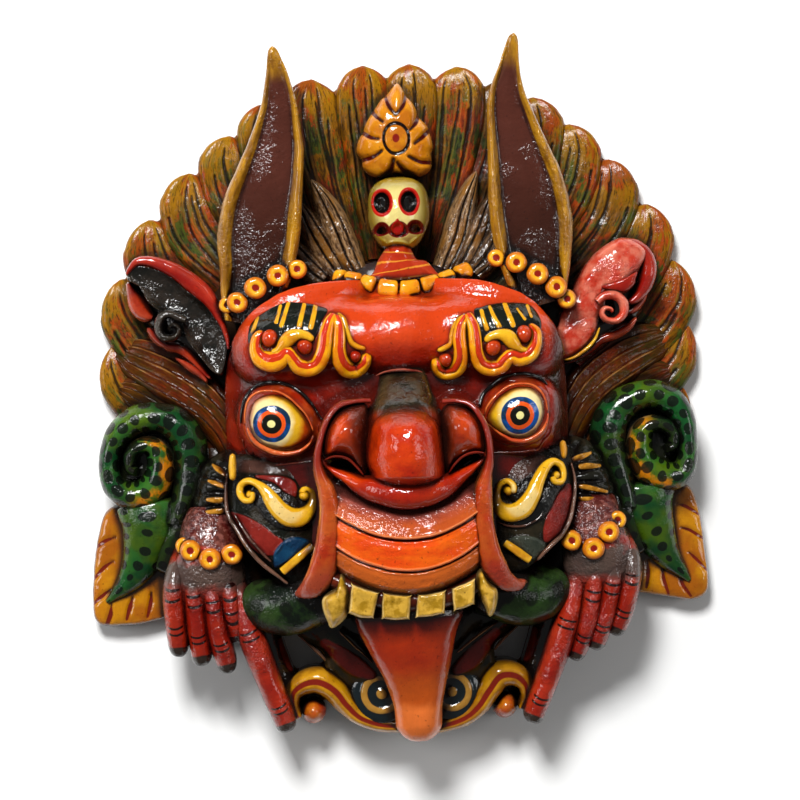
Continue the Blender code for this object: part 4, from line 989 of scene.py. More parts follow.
cheeks = {
    "crest": (60.0, -62.0, 64.5), "fall": (0.019, 0.006), "edgeDrop": 6.0, "redRise": 0.9, "leafRise": 1.6,
    "plateLeft": ((-84, -31), (-86.6, -43), (-86.8, -54), (-85.4, -59.6), (-82.8, -64.2), (-78.9, -71.2),
        (-73.1, -78.7), (-66.9, -85.3), (-58.5, -92.8), (-50, -95.5), (-40, -92), (-38, -60), (-40, -36),
        (-56, -31), (-70, -29)),
    "plateRight": ((83, -30), (84.6, -41), (84.2, -50), (83.2, -57), (81.4, -65), (77.6, -71.8),
        (70.5, -78.5), (66.8, -82.5), (58, -90), (48, -92), (40, -88), (40, -60), (40, -36), (56, -31),
        (70, -29)),
    "middle": (62.0, -60.0),
    "redLeft": (((-71, -40.3, 0.8), (-65, -41, 1.4), (-59, -42.8, 2.6), (-55, -45.8, 3.4),
        (-53.2, -49.6, 1.6)), ((-84, -58, 0.8), (-78, -62.8, 3.4), (-72, -68.8, 5.8), (-66.5, -73.2, 5.6),
        (-61.5, -72.4, 2.4))),
    "redRight": (((80.4, -49.5, 1.8), (78.6, -56, 4.4), (75.6, -62.5, 5.6), (72.5, -69, 5.0),
        (69.5, -74.4, 2.0)),),
    "leafLeft": (((-62.8, -83.5, 1.4), (-60, -79, 4.2), (-56, -75.6, 4.8), (-51.5, -73.4, 3.2),
        (-47.8, -72.8, 1.4)),),
    "leafRight": (((49, -77, 2.2), (55, -77.6, 4.8), (61, -79, 6.0), (66, -79.5, 3.6)),),
    "brownLeft": (((-80, -35, 3.0), (-70, -35.5, 3.0), (-58, -36.5, 3.0), (-46, -38, 3.0)),),
    "brownRight": (((46, -39.5, 6.0), (54, -40, 6.4), (62, -37.5, 4.4), (68, -35.5, 2.0)),),
    "rimLeft": (((-85.2, -38, 0.6), (-86.4, -46, 0.9), (-86.4, -55, 1.1), (-85.0, -60.2, 1.2),
        (-82.4, -64.8, 1.2), (-78.4, -71.6, 1.2), (-72.7, -79.1, 1.2), (-66.5, -85.7, 1.1),
        (-57.1, -93.2, 0.8)), ((-82.6, -58.5, 0.4), (-79.6, -64.2, 0.7), (-75.4, -70.2, 0.8),
        (-69.4, -77.4, 0.8), (-65.0, -82.0, 0.6))),
    "rimRight": (((82.6, -38, 0.6), (84.0, -46, 0.9), (83.2, -56.8, 1.1), (81.4, -65, 1.2),
        (77.6, -71.8, 1.2), (70.9, -78.2, 1.1), (64, -85, 0.7)), ((45, -65.5, 0.5), (51, -67.6, 0.8),
        (58, -67.4, 0.8), (65, -63.6, 0.8), (69, -57.6, 0.8), (71.6, -50.4, 0.5))),
    "moustacheLeft": ((-73.2, -47.4, 1.5), (-73.6, -51, 1.8), (-76.9, -51.4, 2), (-79.3, -48.3, 2.1),
        (-78.5, -44.5, 2.1), (-74.9, -42.6, 1.9), (-70.8, -43.6, 1.9), (-67.1, -46.6, 2.8), (-63.8, -51.4, 4),
        (-60.1, -56.5, 4.6), (-55.4, -60, 4.9), (-50, -60.2, 4.6), (-45.8, -57, 3.1), (-44.1, -52.5, 2),
        (-44.7, -48.4, 1.8), (-47.8, -47.2, 1.9), (-49.3, -49.7, 1.8)),
    "moustacheRight": ((52.8, -52, 1.6), (53.2, -48.4, 1.8), (50.9, -46.1, 1.8), (47.2, -47.3, 1.8),
        (45.1, -52, 2), (45.4, -57, 3.1), (48.6, -60.5, 4.3), (53.6, -60.9, 4.6), (58.4, -58.3, 4.6),
        (62.2, -52.9, 4), (64.9, -47.1, 3.4), (68.3, -40.8, 2.8), (72.5, -37.3, 2.2), (76.5, -38.8, 2),
        (78, -42.9, 1.9), (76.8, -46.5, 1.9), (73.6, -46.4, 1.8), (72.7, -43.9, 1.6)),
    "knobsLeft": ((-47.9, -49.9, 2.9), (-74.6, -49.0, 2.2)),
    "knobsRight": ((50.7, -50.3, 2.6), (74.5, -44.0, 2.4)),
    "bedLeft": (((-72.5, -45.5, 2.4), (-67.6, -51.4, 4.4), (-63.4, -57.8, 5.0), (-57.5, -62, 4.6),
        (-50, -63, 3.6), (-43.6, -58, 2.4)), ((-61.5, -48.5, 3.0), (-56.5, -53.2, 4.4), (-51.5, -55.4, 4.0),
        (-47.6, -52, 3.0))),
    "bedRight": (((75.5, -46.5, 3.2), (70.5, -52, 4.4), (66.5, -58, 4.8), (60.5, -63, 4.2),
        (53.5, -64.5, 3.4), (46.6, -61, 2.6)), ((51.5, -48.5, 3.0), (55.5, -53, 4.2), (59, -50, 3.8),
        (62, -44.5, 2.6))),
    "barLeft": ((-60.6, -87.2, 2.1), (-52.5, -80.9, 2.2), (-44.4, -74.6, 2.0)),
    "barRight": ((48, -75.8, 1.9), (54.5, -80.4, 2.1), (61, -85, 1.9)),
    "dashLeft": ((-82.4, -28.5, 1.5), (-82.6, -35.7, 2.0), (-82.6, -42.2, 1.5)),
    "dashRight": ((78.5, -26.6, 1.3), (78.9, -31.7, 1.8), (78.4, -36.2, 1.2)),
}


def cheekHeight(x, y):
    cx, cy, top = cheeks["crest"]
    return top - cheeks["fall"][0] * (np.abs(x) - cx) ** 2 - cheeks["fall"][1] * (y - cy) ** 2


def onCheek(rows, lift, rise):
    return [(x, y, float(cheekHeight(x, y)) + lift, half, rise) for x, y, half in rows]


for side, sign in (("Left", -1.0), ("Right", 1.0)):
    fields = {key: strokesOf(cheeks[key + side]) for key in ("red", "leaf", "brown")}

    def plateHeight(reach, x, y):
        raised = cheeks["redRise"] * within(-0.5, 0.5, fields["red"](x, y))
        raised = raised + cheeks["leafRise"] * within(-1.2, 0.5, fields["leaf"](x, y))
        return cheekHeight(x, y) - cheeks["edgeDrop"] * (1.0 - (1.0 - reach ** 12.0) ** 0.5) + raised

    plate = plaque(cheeks["plate" + side], plateHeight, 46.0, 0.55,
                   (sign * cheeks["middle"][0], cheeks["middle"][1]))
    carve("cheek" + side, [mark(plate, **fields)], "cheek" + side)
    carve("cheekRims" + side, [sweep(onCheek(rows, 0.2, 2.0), 0.7, 12, rounded=(1.0, 1.0))
                               for rows in cheeks["rim" + side]], "darkRim")
    carve("moustacheBed" + side, [sweep(onCheek(rows, 0.0, 2.2), 0.8, 26, rounded=(3.0, 3.0))
                                  for rows in cheeks["bed" + side]], "blackGloss")
    knobs = []
    for x, y, radius in cheeks["knobs" + side]:
        z = float(cheekHeight(x, y))
        knobs.append(dome((x, y), (radius, radius), z, z + 6.4, z - 4.0, spacing=0.45))
    band = sweep(onCheek(cheeks["moustache" + side], 2.2, 3.6), 0.6, 26, 2.4, rounded=(1.2, 1.2))
    mark(band, broad=lambda x, y: smoothStep(6.0, 3.0, np.abs(np.hypot(x + sign * -57.0, y + 55.0) - 4.0)))
    carve("moustache" + side, [band] + [mark(knob, broad=0.0, across=0.9) for knob in knobs], "moustache")
    bar = sweep(onCheek(cheeks["bar" + side], 1.8, 2.4), 0.6, 22, 3.2, rounded=(1.0, 1.0))
    dash = sweep(level(cheeks["dash" + side], 58.0, 3.6), 0.6, 18, rounded=(1.6, 1.6))
    carve("goldDashes" + side, [bar, dash], "cheekGold")


# Ears

ears = {
    "darkLeft": ((-132.5, 61.5), (-128.8, 64.7), (-123.6, 64.4), (-117.6, 62.8), (-111.7, 59.5),
        (-105.8, 53.9), (-99.9, 49.4), (-94.8, 44.9), (-90.7, 39.6), (-87.4, 33.9), (-84.9, 27.8),
        (-84.4, 20.9), (-85.8, 13.1), (-88, 9.7), (-91.9, 11.6), (-95.6, 15.8), (-100.6, 22), (-104.4, 28.1),
        (-106.1, 35.3), (-108.8, 38.8), (-112.2, 40.8), (-116.5, 41.8), (-120.7, 44.3), (-123.9, 47.9),
        (-125.7, 52.2), (-128.6, 56.2), (-132.9, 57.9)),
    "darkMiddle": (-105.0, 44.0), "floor": 18.0,
    "rimLeft": ((-133.1, 59.7, 0.8), (-131.6, 62.9, 1.3), (-127.7, 66.5, 2.1), (-121, 66.8, 2.8),
        (-114, 64.4, 3.5), (-107.2, 60.4, 4.0), (-100.6, 55.4, 4.5), (-94.7, 50.1, 4.4), (-90.9, 44.8, 3.5),
        (-88.5, 39.6, 2.5), (-86.3, 34.3, 1.8), (-84.8, 28.6, 1.3), (-83.8, 21.7, 0.9)),
    "curlLeft": ((-104.5, 37.2, 2.2), (-108.3, 38.9, 2.4), (-112.6, 40.6, 2.4), (-116.5, 39, 2.4),
        (-118.2, 34.7, 2.1), (-116.6, 30.2, 1.9), (-112.5, 28.7, 1.8), (-108.8, 30.3, 1.6),
        (-108.2, 33.6, 1.5), (-110.8, 35.1, 1.4), (-112.8, 33.5, 1.2), (-111.5, 32, 0.9)),
    "petalsLeft": (((-133.5, 57.5, 1.2), (-131, 52, 3.6), (-128.5, 46, 5.0), (-125, 41, 4.4),
        (-120.5, 38.5, 1.6)), ((-124.5, 34.2, 1.0), (-120.8, 30.5, 3.0), (-116.5, 26.5, 2.8),
        (-113.5, 24, 0.8)), ((-119.3, 40.5, 0.8), (-118.4, 33, 1.8), (-114.5, 25.5, 2.8), (-108.5, 23.5, 3.2),
        (-102.5, 18, 2.8), (-96, 10.5, 1.8), (-93, 8, 0.6)), ((-111, 19, 0.6), (-104.5, 15, 2.6),
        (-98.5, 10.5, 2.4), (-95, 6, 0.8))),
    "groundLeft": ((-128, 52, 14, 8, 8, 1), (-113, 42, 17, 13, 10, 1), (-100, 30, 19, 13, 11, 1),
        (-88, 14, 19, 9, 10, 1)),
    "mainRight": ((81.1, 32.7), (83.9, 38.7), (85.9, 43), (87.3, 48.1), (90.6, 53.9), (94.9, 60.5),
        (101.4, 67.2), (110, 72), (116.1, 72), (121.4, 69.1), (124.6, 65.3), (123.6, 61), (120.1, 55),
        (118.2, 49), (112.9, 44.7), (108.4, 45.3), (104.1, 45.8), (100.9, 42.6), (100, 37.4), (97.7, 37.3),
        (91.7, 38.3), (85.6, 35.2)),
    "lobeRight": ((79, 28.4), (82.1, 31.7), (85.2, 34.9), (91.4, 38.2), (96.5, 37.5), (99.8, 34.7),
        (99.4, 29.5), (98.1, 25.1), (93.4, 18.6), (87.2, 13.9), (79.4, 12.4), (77.9, 20.6)),
    "foldRight": ((99.6, 48.3), (104.2, 49.7), (109.5, 51.5), (114.5, 53.1), (118.8, 55.1), (118, 51.5),
        (117.2, 48.7), (112.5, 45.4), (107.2, 45.7), (103, 46.7)),
    "rimRight": ((112, 70.5, 2.2), (118.8, 68.6, 3.2), (123.4, 64.5, 3.8), (125.4, 59, 4.2),
        (124.8, 52.5, 4.2), (122.0, 46.4, 3.6), (118.0, 42, 2.6), (113.5, 40, 1.4)),
    "joinRight": ((83, 17, 37, 4, 3.5, 18), (86, 25, 37, 7, 4.6, 18), (90, 34, 37, 9, 5.2, 18),
        (95, 43, 37, 9, 5.2, 18), (101, 52, 37, 6, 4, 18)),
    "edgeRight": ((99.8, 28.1, 0.5), (97.2, 22.4, 0.8), (91.8, 16.7, 0.9), (85.2, 13.0, 0.6),
        (79.6, 12.2, 0.4)),
    "curlRight": ((98.6, 40.7, 2.3), (102.8, 43.9, 2.4), (108.2, 43.7, 2.4), (111.6, 39.9, 2.4),
        (111.5, 34.7, 2.1), (107.9, 31.4, 1.9), (103.3, 31.8, 1.7), (101, 34.8, 1.6), (102.6, 37.4, 1.4),
        (105.7, 36.9, 1.1), (105.8, 34.9, 0.8)),
    "petalsRight": (((119.5, 33, 0.6), (115.5, 28.5, 2.4), (109, 25, 2.8), (101.5, 22.6, 2.8), (94, 16, 1.8),
        (87, 12.2, 1.2), (81, 10.4, 0.5)), ((126, 47.5, 0.8), (121.5, 41, 2.4), (117, 36.5, 2.4),
        (112, 34, 1.0))),
    "groundRight": ((124, 56, 14, 8, 8, 1), (112, 42, 17, 13, 10, 1), (98, 30, 19, 13, 11, 1),
        (85, 14, 19, 9, 10, 1)),
}
dished = lambda reach, x, y: 36.5 + 4.0 * reach ** 3.0 - 5.0 * smoothStep(0.97, 1.0, reach)
swollen = pillow(34.0, 8.5, 3.4)


def earRod(key, z, tall, sides, spacing=0.6, squareness=2.0, start=1.0, end=1.0):
    return sweep(level(ears[key], z, tall), spacing, sides, squareness, rounded=(start, end))


carve("earBowlLeft", [plaque(ears["darkLeft"], dished, ears["floor"], 0.7, ears["darkMiddle"])], "earDark")
carve("earCurlLeft", [earRod("curlLeft", 38.5, 4.6, 20, start=0.0)], "earDark")
carve("earRimLeft", [earRod("rimLeft", 37.0, 5.6, 26, 0.7, 2.6)], "earRed")
forms = [plaque(ears["mainRight"], swollen, ears["floor"], 0.7, (101.0, 54.0))]
forms.append(plaque(ears["lobeRight"], swollen, ears["floor"], 0.7, (89.0, 26.0)))
forms.append(relief(ears["joinRight"], samples=31))
forms.append(earRod("curlRight", 40.0, 4.6, 20, start=0.0))
carve("earRight", forms, "earRedAndSheen")
leaf = plaque(ears["foldRight"], pillow(41.0, 2.6, 3.0), 30.0, 0.6, (109.5, 49.5))
carve("earFoldRight", [leaf, earRod("rimRight", 31.0, 5.5, 22, 0.7, start=1.5, end=1.5)], "earRed")
carve("earEdgeRight", [earRod("edgeRight", 40.5, 1.6, 12, start=0.8, end=0.8)], "cheekGold")
for side in ("Left", "Right"):
    petals = [relief(level(rows, 24.0, 7.0, 1.0), samples=25, rounded=(0.8, 0.8))
              for rows in ears["petals" + side]]
    carve("earPetals" + side, petals, "petal")
    carve("earGround" + side, [relief(ears["ground" + side], samples=21)], "darkRed")


# Serpents: coiled necks beside the cheeks, tails with fins, and the bodies in the mouth

serpents = {
    "coilLeft": ((-112.6, -64, 5.6), (-111.3, -58.5, 6.3), (-108.2, -51.9, 7.3), (-105.7, -44.6, 8.0),
        (-104.3, -36.4, 8.5), (-104.3, -28.3, 8.8), (-106.5, -20, 8.8), (-112.3, -13.2, 8.5),
        (-121.5, -10, 7.2), (-131.5, -11.6, 7.2), (-139.5, -17.6, 6.5), (-144.1, -26.4, 5.5),
        (-145.3, -35.3, 5.2), (-143.1, -43.5, 5.8), (-136.2, -48.5, 7.3), (-127, -47.7, 8.0),
        (-121.2, -41.2, 7.8), (-119.7, -33, 6.8), (-121.9, -26.3, 5.8), (-126.7, -23.8, 4.5),
        (-131.7, -25.6, 3.8), (-134.5, -30, 3.4), (-134.2, -35.2, 3.0), (-131.1, -36.8, 2.2)),
    "coilRight": ((112.4, -62, 5.2), (111.6, -56.5, 5.9), (109.9, -49.7, 6.9), (107.5, -42.2, 7.5),
        (105.1, -34.7, 8.2), (103.6, -27.2, 9.1), (105.1, -18.3, 9.2), (110.3, -11, 8.8), (118.6, -6.4, 7.7),
        (127.6, -5.6, 7.1), (136, -9.9, 6.8), (141.2, -17.9, 6.0), (142.9, -27.6, 5.2), (142.9, -37.3, 5.0),
        (139.9, -44.6, 6.2), (132, -47, 7.4), (123.6, -42.7, 7.7), (119.5, -35.1, 6.9), (119.5, -27.3, 6.4),
        (122.6, -22.2, 5.4), (127.9, -20.3, 4.2), (133.1, -21.9, 3.6), (136.2, -26.3, 3.2),
        (135.4, -31.5, 2.8), (132.3, -32.9, 2.0)),
    "crest": 35.0, "bandFrom": 120.0, "bandTo": 168.0,
    "tailLeft": ((-127, -51, 22, 16, 9, 1), (-125.6, -64, 21, 14.6, 11, 1), (-129.5, -78, 19, 11.0, 9, 1),
        (-137, -91, 16, 6.4, 6, 1), (-148.5, -102.5, 13, 1.4, 3, 1)),
    "tailRight": ((121, -49, 22, 16, 9, 1), (121, -61, 21, 14.6, 11, 1), (126, -75, 19, 11.0, 9, 1),
        (133.4, -88, 16, 6.2, 6, 1), (143.6, -99.5, 13, 1.4, 3, 1)),
    "neckLeft": ((-106, -52, 20, 7, 10, 1), (-110, -66, 20, 9, 12, 1), (-117, -78, 18, 9, 10, 1),
        (-122, -88, 15, 6, 7, 1)),
    "neckRight": ((107, -50, 20, 7, 10, 1), (109, -62, 20, 9, 12, 1), (114, -75, 18, 9, 10, 1),
        (119, -86, 15, 6, 7, 1)),
    "mouthLeft": ((-32, -98, 50, 10.5, 13), (-44, -101.5, 49, 13.0, 14.5), (-57, -104.5, 45, 14.6, 15),
        (-68, -104, 40, 13.6, 15), (-76, -101, 33, 11.0, 13)),
    "mouthRight": ((34, -98, 50, 10.5, 13), (45, -101, 49, 13.0, 14.5), (57, -103.5, 45, 14.4, 15),
        (68, -102, 40, 13.4, 15), (76, -98, 33, 11.0, 13)),
    "padLeft": ((-125.0, -31.0), (24.5, 26.0)), "padRight": ((123.5, -28.5), (23.5, 25.5)), "dotGap": 8.2,
    "dotRadius": 3.1,
}


def dotted(form, width, seed, gap=None, radius=None):
    # Distance to the nearest painted dot, in a staggered row along the body
    gap = gap or serpents["dotGap"]
    radius = radius or serpents["dotRadius"]
    along = form["marks"]["along"]
    over = np.arcsin(np.clip(form["marks"]["across"], -1.0, 1.0)) * width
    rng = np.random.default_rng(seed)
    field = np.full(len(along), 9.0)
    for row in range(int(along.max() / gap) + 2):
        for lane in (-1, 0, 1):
            at = gap * (row + 0.5 * (lane % 2)) + rng.uniform(-0.9, 0.9)
            over0 = lane * width * 0.98 + rng.uniform(-0.7, 0.7)
            size = radius * rng.uniform(0.8, 1.2)
            field = np.minimum(field, np.hypot(along - at, (over - over0) * 0.95) - size)
    return mark(form, dot=field)


for side, sign in (("Left", 1.0), ("Right", -1.0)):
    rows = []
    for x, y, half in serpents["coil" + side]:
        tall = 4.5 + 0.85 * half
        rows.append((x, y, serpents["crest"] - tall, half, tall))
    coil = dotted(sweep(rows, 0.7, 42), 7.4, 3)
    outward = coil["marks"]["across"] * sign
    run = coil["marks"]["along"]
    bandFrom, bandTo = serpents["bandFrom"], serpents["bandTo"]
    inBand = smoothStep(bandFrom, bandFrom + 10.0, run) * within(bandTo - 8.0, bandTo, run)
    mark(coil, belly=inBand * smoothStep(-0.05, 0.3, outward), edge=inBand * smoothStep(0.86, 0.93, outward),
         dark=np.maximum(1.0 - smoothStep(20.0, 52.0, run), smoothStep(162.0, 170.0, run)))
    pad = mark(dome(*serpents["pad" + side], 10.0, 21.0, 1.0, spacing=1.4), dot=9.0, belly=0.0, edge=0.0,
               dark=1.0)
    carve("serpentCoil" + side, [coil, pad], "coil")
    tail = dotted(relief(serpents["tail" + side], samples=41, rounded=(3.0, 0.0)), 9.0, 5, 8.6, 2.4)
    neck = dotted(relief(serpents["neck" + side], samples=31, rounded=(3.0, 3.0)), 8.0, 6, 9.0, 2.2)
    mark(tail, belly=0.0, edge=0.0, dark=0.1)
    mark(neck, belly=0.0, edge=0.0, dark=0.75)
    carve("serpentTail" + side, [tail, neck], "coil")
    body = dotted(sweep(serpents["mouth" + side], 0.9, 44, rounded=(3.0, 6.0)), 12.0, 8, 12.0, 3.4)
    carve("serpentBody" + side, [body], "serpentBody")

fins = {
    "foot": 10.5, "rise": 4.0, "cutDepth": 0.7, "floor": 0.9, "middle": (132.0, -88.0),
    "Left": ((-130, -55), (-139, -52.5), (-148.6, -57), (-153, -70), (-155.6, -90), (-156, -106),
        (-154.4, -112), (-149.6, -114.4), (-136, -114), (-122, -111.5), (-112, -110), (-110, -98),
        (-112, -82), (-124, -70)),
    "Right": ((128, -54), (139, -51.5), (146, -54), (150.5, -70), (152.4, -88), (153.4, -102),
        (150.6, -107.6), (144, -109.4), (132, -107.6), (116, -104.6), (108, -103.4), (107, -92), (110, -76),
        (120, -66)),
    "strokesLeft": (((-144, -69.5, 0.2), (-149, -71.5, 0.9), (-155, -76, 0.6)), ((-145.5, -82, 0.2),
        (-150, -85, 0.9), (-156, -91, 0.6)), ((-147, -96, 0.2), (-151, -99, 0.9), (-156.5, -104, 0.6)),
        ((-146.5, -104, 0.2), (-147.5, -109, 1.1), (-150, -115, 0.8)), ((-136, -100, 0.2),
        (-137.4, -105, 1.0), (-139.5, -111.5, 0.6)), ((-126.6, -98, 0.2), (-127, -103, 1.0),
        (-129, -110, 0.6)), ((-117.6, -97, 0.2), (-118, -101, 0.8), (-119.4, -107, 0.5))),
    "strokesRight": (((138.5, -61, 0.2), (143, -62.5, 0.8), (149, -66.5, 0.5)), ((140, -73, 0.2),
        (145, -75, 0.8), (152.4, -80, 0.5)), ((143.6, -86, 0.2), (147, -89, 0.8), (152.8, -95, 0.5)),
        ((113.6, -88, 0.2), (113.8, -93, 0.8), (112.5, -99.5, 0.5)), ((122.6, -89, 0.2), (122.8, -95, 0.9),
        (121.5, -102.5, 0.6)), ((130, -93, 0.2), (130.6, -99, 0.9), (132.8, -106.5, 0.6)), ((138.6, -97, 0.2),
        (140.4, -101.5, 0.9), (144.6, -107.5, 0.6))),
}
for side, sign in (("Left", -1.0), ("Right", 1.0)):
    cuts = fins["strokes" + side]

    def blade(reach, x, y):
        front = fins["foot"] + fins["rise"] * (1.0 - reach ** 8.0) ** 0.5
        return front - fins["cutDepth"] * strokeBell(x, y, cuts, 0.6)

    form = plaque(fins[side], blade, fins["floor"], 0.7, (sign * fins["middle"][0], fins["middle"][1]))
    carve("fin" + side, [mark(form, stroke=strokesOf(cuts))], "fin")


# Sleeves and hands

sleeves = {
    "foot": 31.0, "rise": 17.0, "pleats": 26.0, "pleatDepth": 1.6, "lineRise": 1.4, "middle": (90.0, -47.0),
    "fanFrom": (66.0, -48.0),
    "Left": ((-80, -27), (-91, -29), (-98, -35), (-102, -45), (-104, -55), (-103, -66), (-96, -68),
        (-83, -66), (-78, -50), (-77, -36)),
    "Right": ((78, -25), (90, -26), (97, -32), (102, -42), (105.5, -54), (104, -63), (97, -66), (84, -65),
        (77, -50), (76, -36)),
    "linesLeft": (((-93.2, -34.2, 0.5), (-90, -36.6, 1.2), (-86.6, -38.9, 1.2)), ((-95, -42.2, 0.6),
        (-90, -43.8, 1.3), (-85.4, -45.2, 1.2)), ((-95.8, -51, 0.8), (-91, -51.5, 1.5), (-86, -51.9, 1.5)),
        ((-96.4, -57.2, 0.8), (-91, -56.9, 1.3), (-86.2, -56.7, 1.1)), ((-97, -62, 0.5), (-90, -62.3, 1.0),
        (-84, -62.5, 1.0))),
    "linesRight": (((84, -36.9, 1.3), (88, -35.4, 1.4), (93.4, -33.6, 0.6)), ((88, -40, 1.3),
        (92, -39.8, 1.5), (97.6, -40, 0.7)), ((84.4, -49.4, 0.9), (91, -50.8, 1.2), (100.4, -53.2, 0.7)),
        ((84.6, -56, 0.9), (92, -56.6, 1.2), (101.6, -57.6, 0.7))),
}
for side, sign in (("Left", -1.0), ("Right", 1.0)):
    lines = sleeves["lines" + side]

    def sleeveHeight(reach, x, y):
        # Pleats that fan out from the cheek
        fan = np.arctan2(y - sleeves["fanFrom"][1], np.abs(x) - sleeves["fanFrom"][0])
        pleat = 0.5 + 0.5 * np.cos(fan * sleeves["pleats"])
        cloth = sleeves["foot"] + sleeves["rise"] * (1.0 - reach ** 2.6) ** 0.5
        return cloth - sleeves["pleatDepth"] * pleat ** 2 + sleeves["lineRise"] * strokeBell(x, y, lines, 0.6)

    middle = (sign * sleeves["middle"][0], sleeves["middle"][1])
    form = plaque(sleeves[side], sleeveHeight, 1.0, 0.6, middle)
    carve("sleeve" + side, [mark(form, stroke=strokesOf(lines))], "sleeve")

hands = {
    "armLeft": ((-94, -60, 33, 12.5, 13), (-95.0, -66, 35, 14.4, 15), (-95.5, -78, 38, 16.6, 15.5),
        (-96.8, -88, 38, 18.4, 14.5), (-97.8, -96, 35, 18.8, 13), (-98, -106, 30, 17.6, 11)),
    "armRight": ((93, -58, 33, 12.5, 13), (93.5, -64, 35, 14.4, 15), (94.5, -76, 38, 16.6, 15.5),
        (96.2, -86, 38, 18.2, 14.5), (97.2, -94, 35, 18.6, 13), (97.6, -104, 30, 17.4, 11)),
    # x, y, half width; each finger starts under the back of the hand
    "fingersLeft": (((-111.0, -80, 4.1), (-113, -88, 5.2), (-114.2, -96, 5.5), (-113.9, -104.4, 5.6),
        (-113.1, -113.8, 5.6), (-112.5, -121.1, 5.4), (-112.2, -125.6, 4.7)), ((-104, -82, 4.3),
        (-104.4, -90, 5.3), (-104, -98.5, 5.5), (-103.3, -107.8, 5.8), (-102.3, -117.7, 5.6),
        (-101.2, -125.5, 5.4), (-100.8, -130.2, 4.7)), ((-96.6, -84, 4.3), (-95.6, -93.5, 5.3),
        (-94.4, -103.4, 5.5), (-93, -113.8, 5.8), (-91, -123.7, 5.8), (-89.5, -130.1, 5.4),
        (-88.7, -134.4, 4.7)), ((-88, -86, 4.1), (-86.4, -95.5, 5.0), (-85.4, -105.6, 5.2),
        (-84.3, -112.8, 5.3), (-84.0, -119.4, 5.1))),
    "fingersRight": (((110, -78, 4.1), (111.6, -87, 5.2), (111.4, -96, 5.5), (109.4, -105, 5.6),
        (106.4, -114.4, 5.5), (102.6, -123, 5.0)), ((102.6, -80, 4.3), (102.6, -89, 5.3), (101.8, -98.5, 5.6),
        (99.6, -109, 5.8), (96.2, -120, 5.6), (92.2, -130.6, 5.0)), ((95, -82, 4.3), (93.6, -92, 5.3),
        (92.4, -102, 5.6), (90.4, -113, 5.8), (86.8, -124.6, 5.6), (82.2, -135.4, 5.0))),
    "indexLeft": ((-86.5, -84, 4.4), (-83.8, -93.4, 5.4), (-80.9, -103.1, 6.2), (-77.9, -114.5, 6.8),
        (-74.1, -126, 6.9), (-70.1, -137.5, 6.6), (-66.2, -148.2, 6.3), (-62.3, -157.9, 6.0),
        (-59.6, -167, 5.0)),
    "indexRight": ((88.5, -82, 4.4), (85.6, -92, 5.4), (83, -102, 6.2), (80, -113.5, 6.7), (76.2, -125, 6.8),
        (72, -137, 6.5), (67.8, -148, 6.2), (63.6, -158, 5.8), (60.6, -166, 5.0)),
    "webLeft": ((-116, -90), (-117, -106), (-113, -117), (-104, -123), (-92, -127), (-85, -115), (-82, -97),
        (-90, -86), (-104, -84)),
    "webRight": ((113, -88), (114, -100), (107, -117), (97, -127), (87, -130), (83, -113), (83, -93),
        (92, -84), (104, -82)),
    "arch": ((0.0, 26.0), (0.12, 35.0), (0.3, 38.6), (0.55, 38.0), (0.8, 35.0), (1.0, 32.0)),
    "thick": (9.0, 12.0, 13.0, 12.6, 12.0, 10.5), "knuckleAt": 0.42, "web": (30.0, 4.5, 6.0),
    "heelLeft": ((-74.5, -108, 24, 9, 8, 1), (-69, -130, 20, 9, 7, 1), (-62, -149, 16, 8.4, 6, 1),
        (-57.5, -161, 14, 6.4, 5, 1)),
    "heelRight": ((76, -108, 24, 9, 8, 1), (70, -130, 20, 9, 7, 1), (62.6, -149, 16, 8, 6, 1),
        (57.6, -159, 14, 6.2, 5, 1)),
}


def fingerForm(rows, drop=0.0):
    # Finger that grows out of the hand: the arch gives its height from knuckle to tip
    count = len(rows) - 1
    at, arch = np.array(hands["arch"]).T
    path = []
    for number, (x, y, half) in enumerate(rows):
        share = number / count
        path.append((x, y, np.interp(share, at, arch) - drop, half, np.interp(share, at, hands["thick"])))
    form = sweep(path, 0.6, 32, 2.3, rounded=(0.0, 4.4))
    return mark(form, knuckle=form["marks"]["along"] - hands["knuckleAt"] * form["marks"]["along"].max())


for side in ("Left", "Right"):
    arm = mark(sweep(hands["arm" + side], 0.8, 48, 2.4), fromTip=99.0, across=0.0, knuckle=-99.0)
    fingers = [fingerForm(rows) for rows in hands["fingers" + side]]
    index = fingerForm(hands["index" + side], 1.5)
    heel = mark(relief(hands["heel" + side]), fromTip=99.0, knuckle=-99.0, across=0.0)
    carve("hand" + side, [arm] + fingers + [index], "hand")
    web = plaque(hands["web" + side], pillow(*hands["web"]), 1.0, 0.9)
    # The heel is painted dark red as painted shade on the side of the index finger
    carve("thumb" + side, [heel], "darkRed")
    carve("fingerWeb" + side, [web], "noseRim")


# Lower jaw

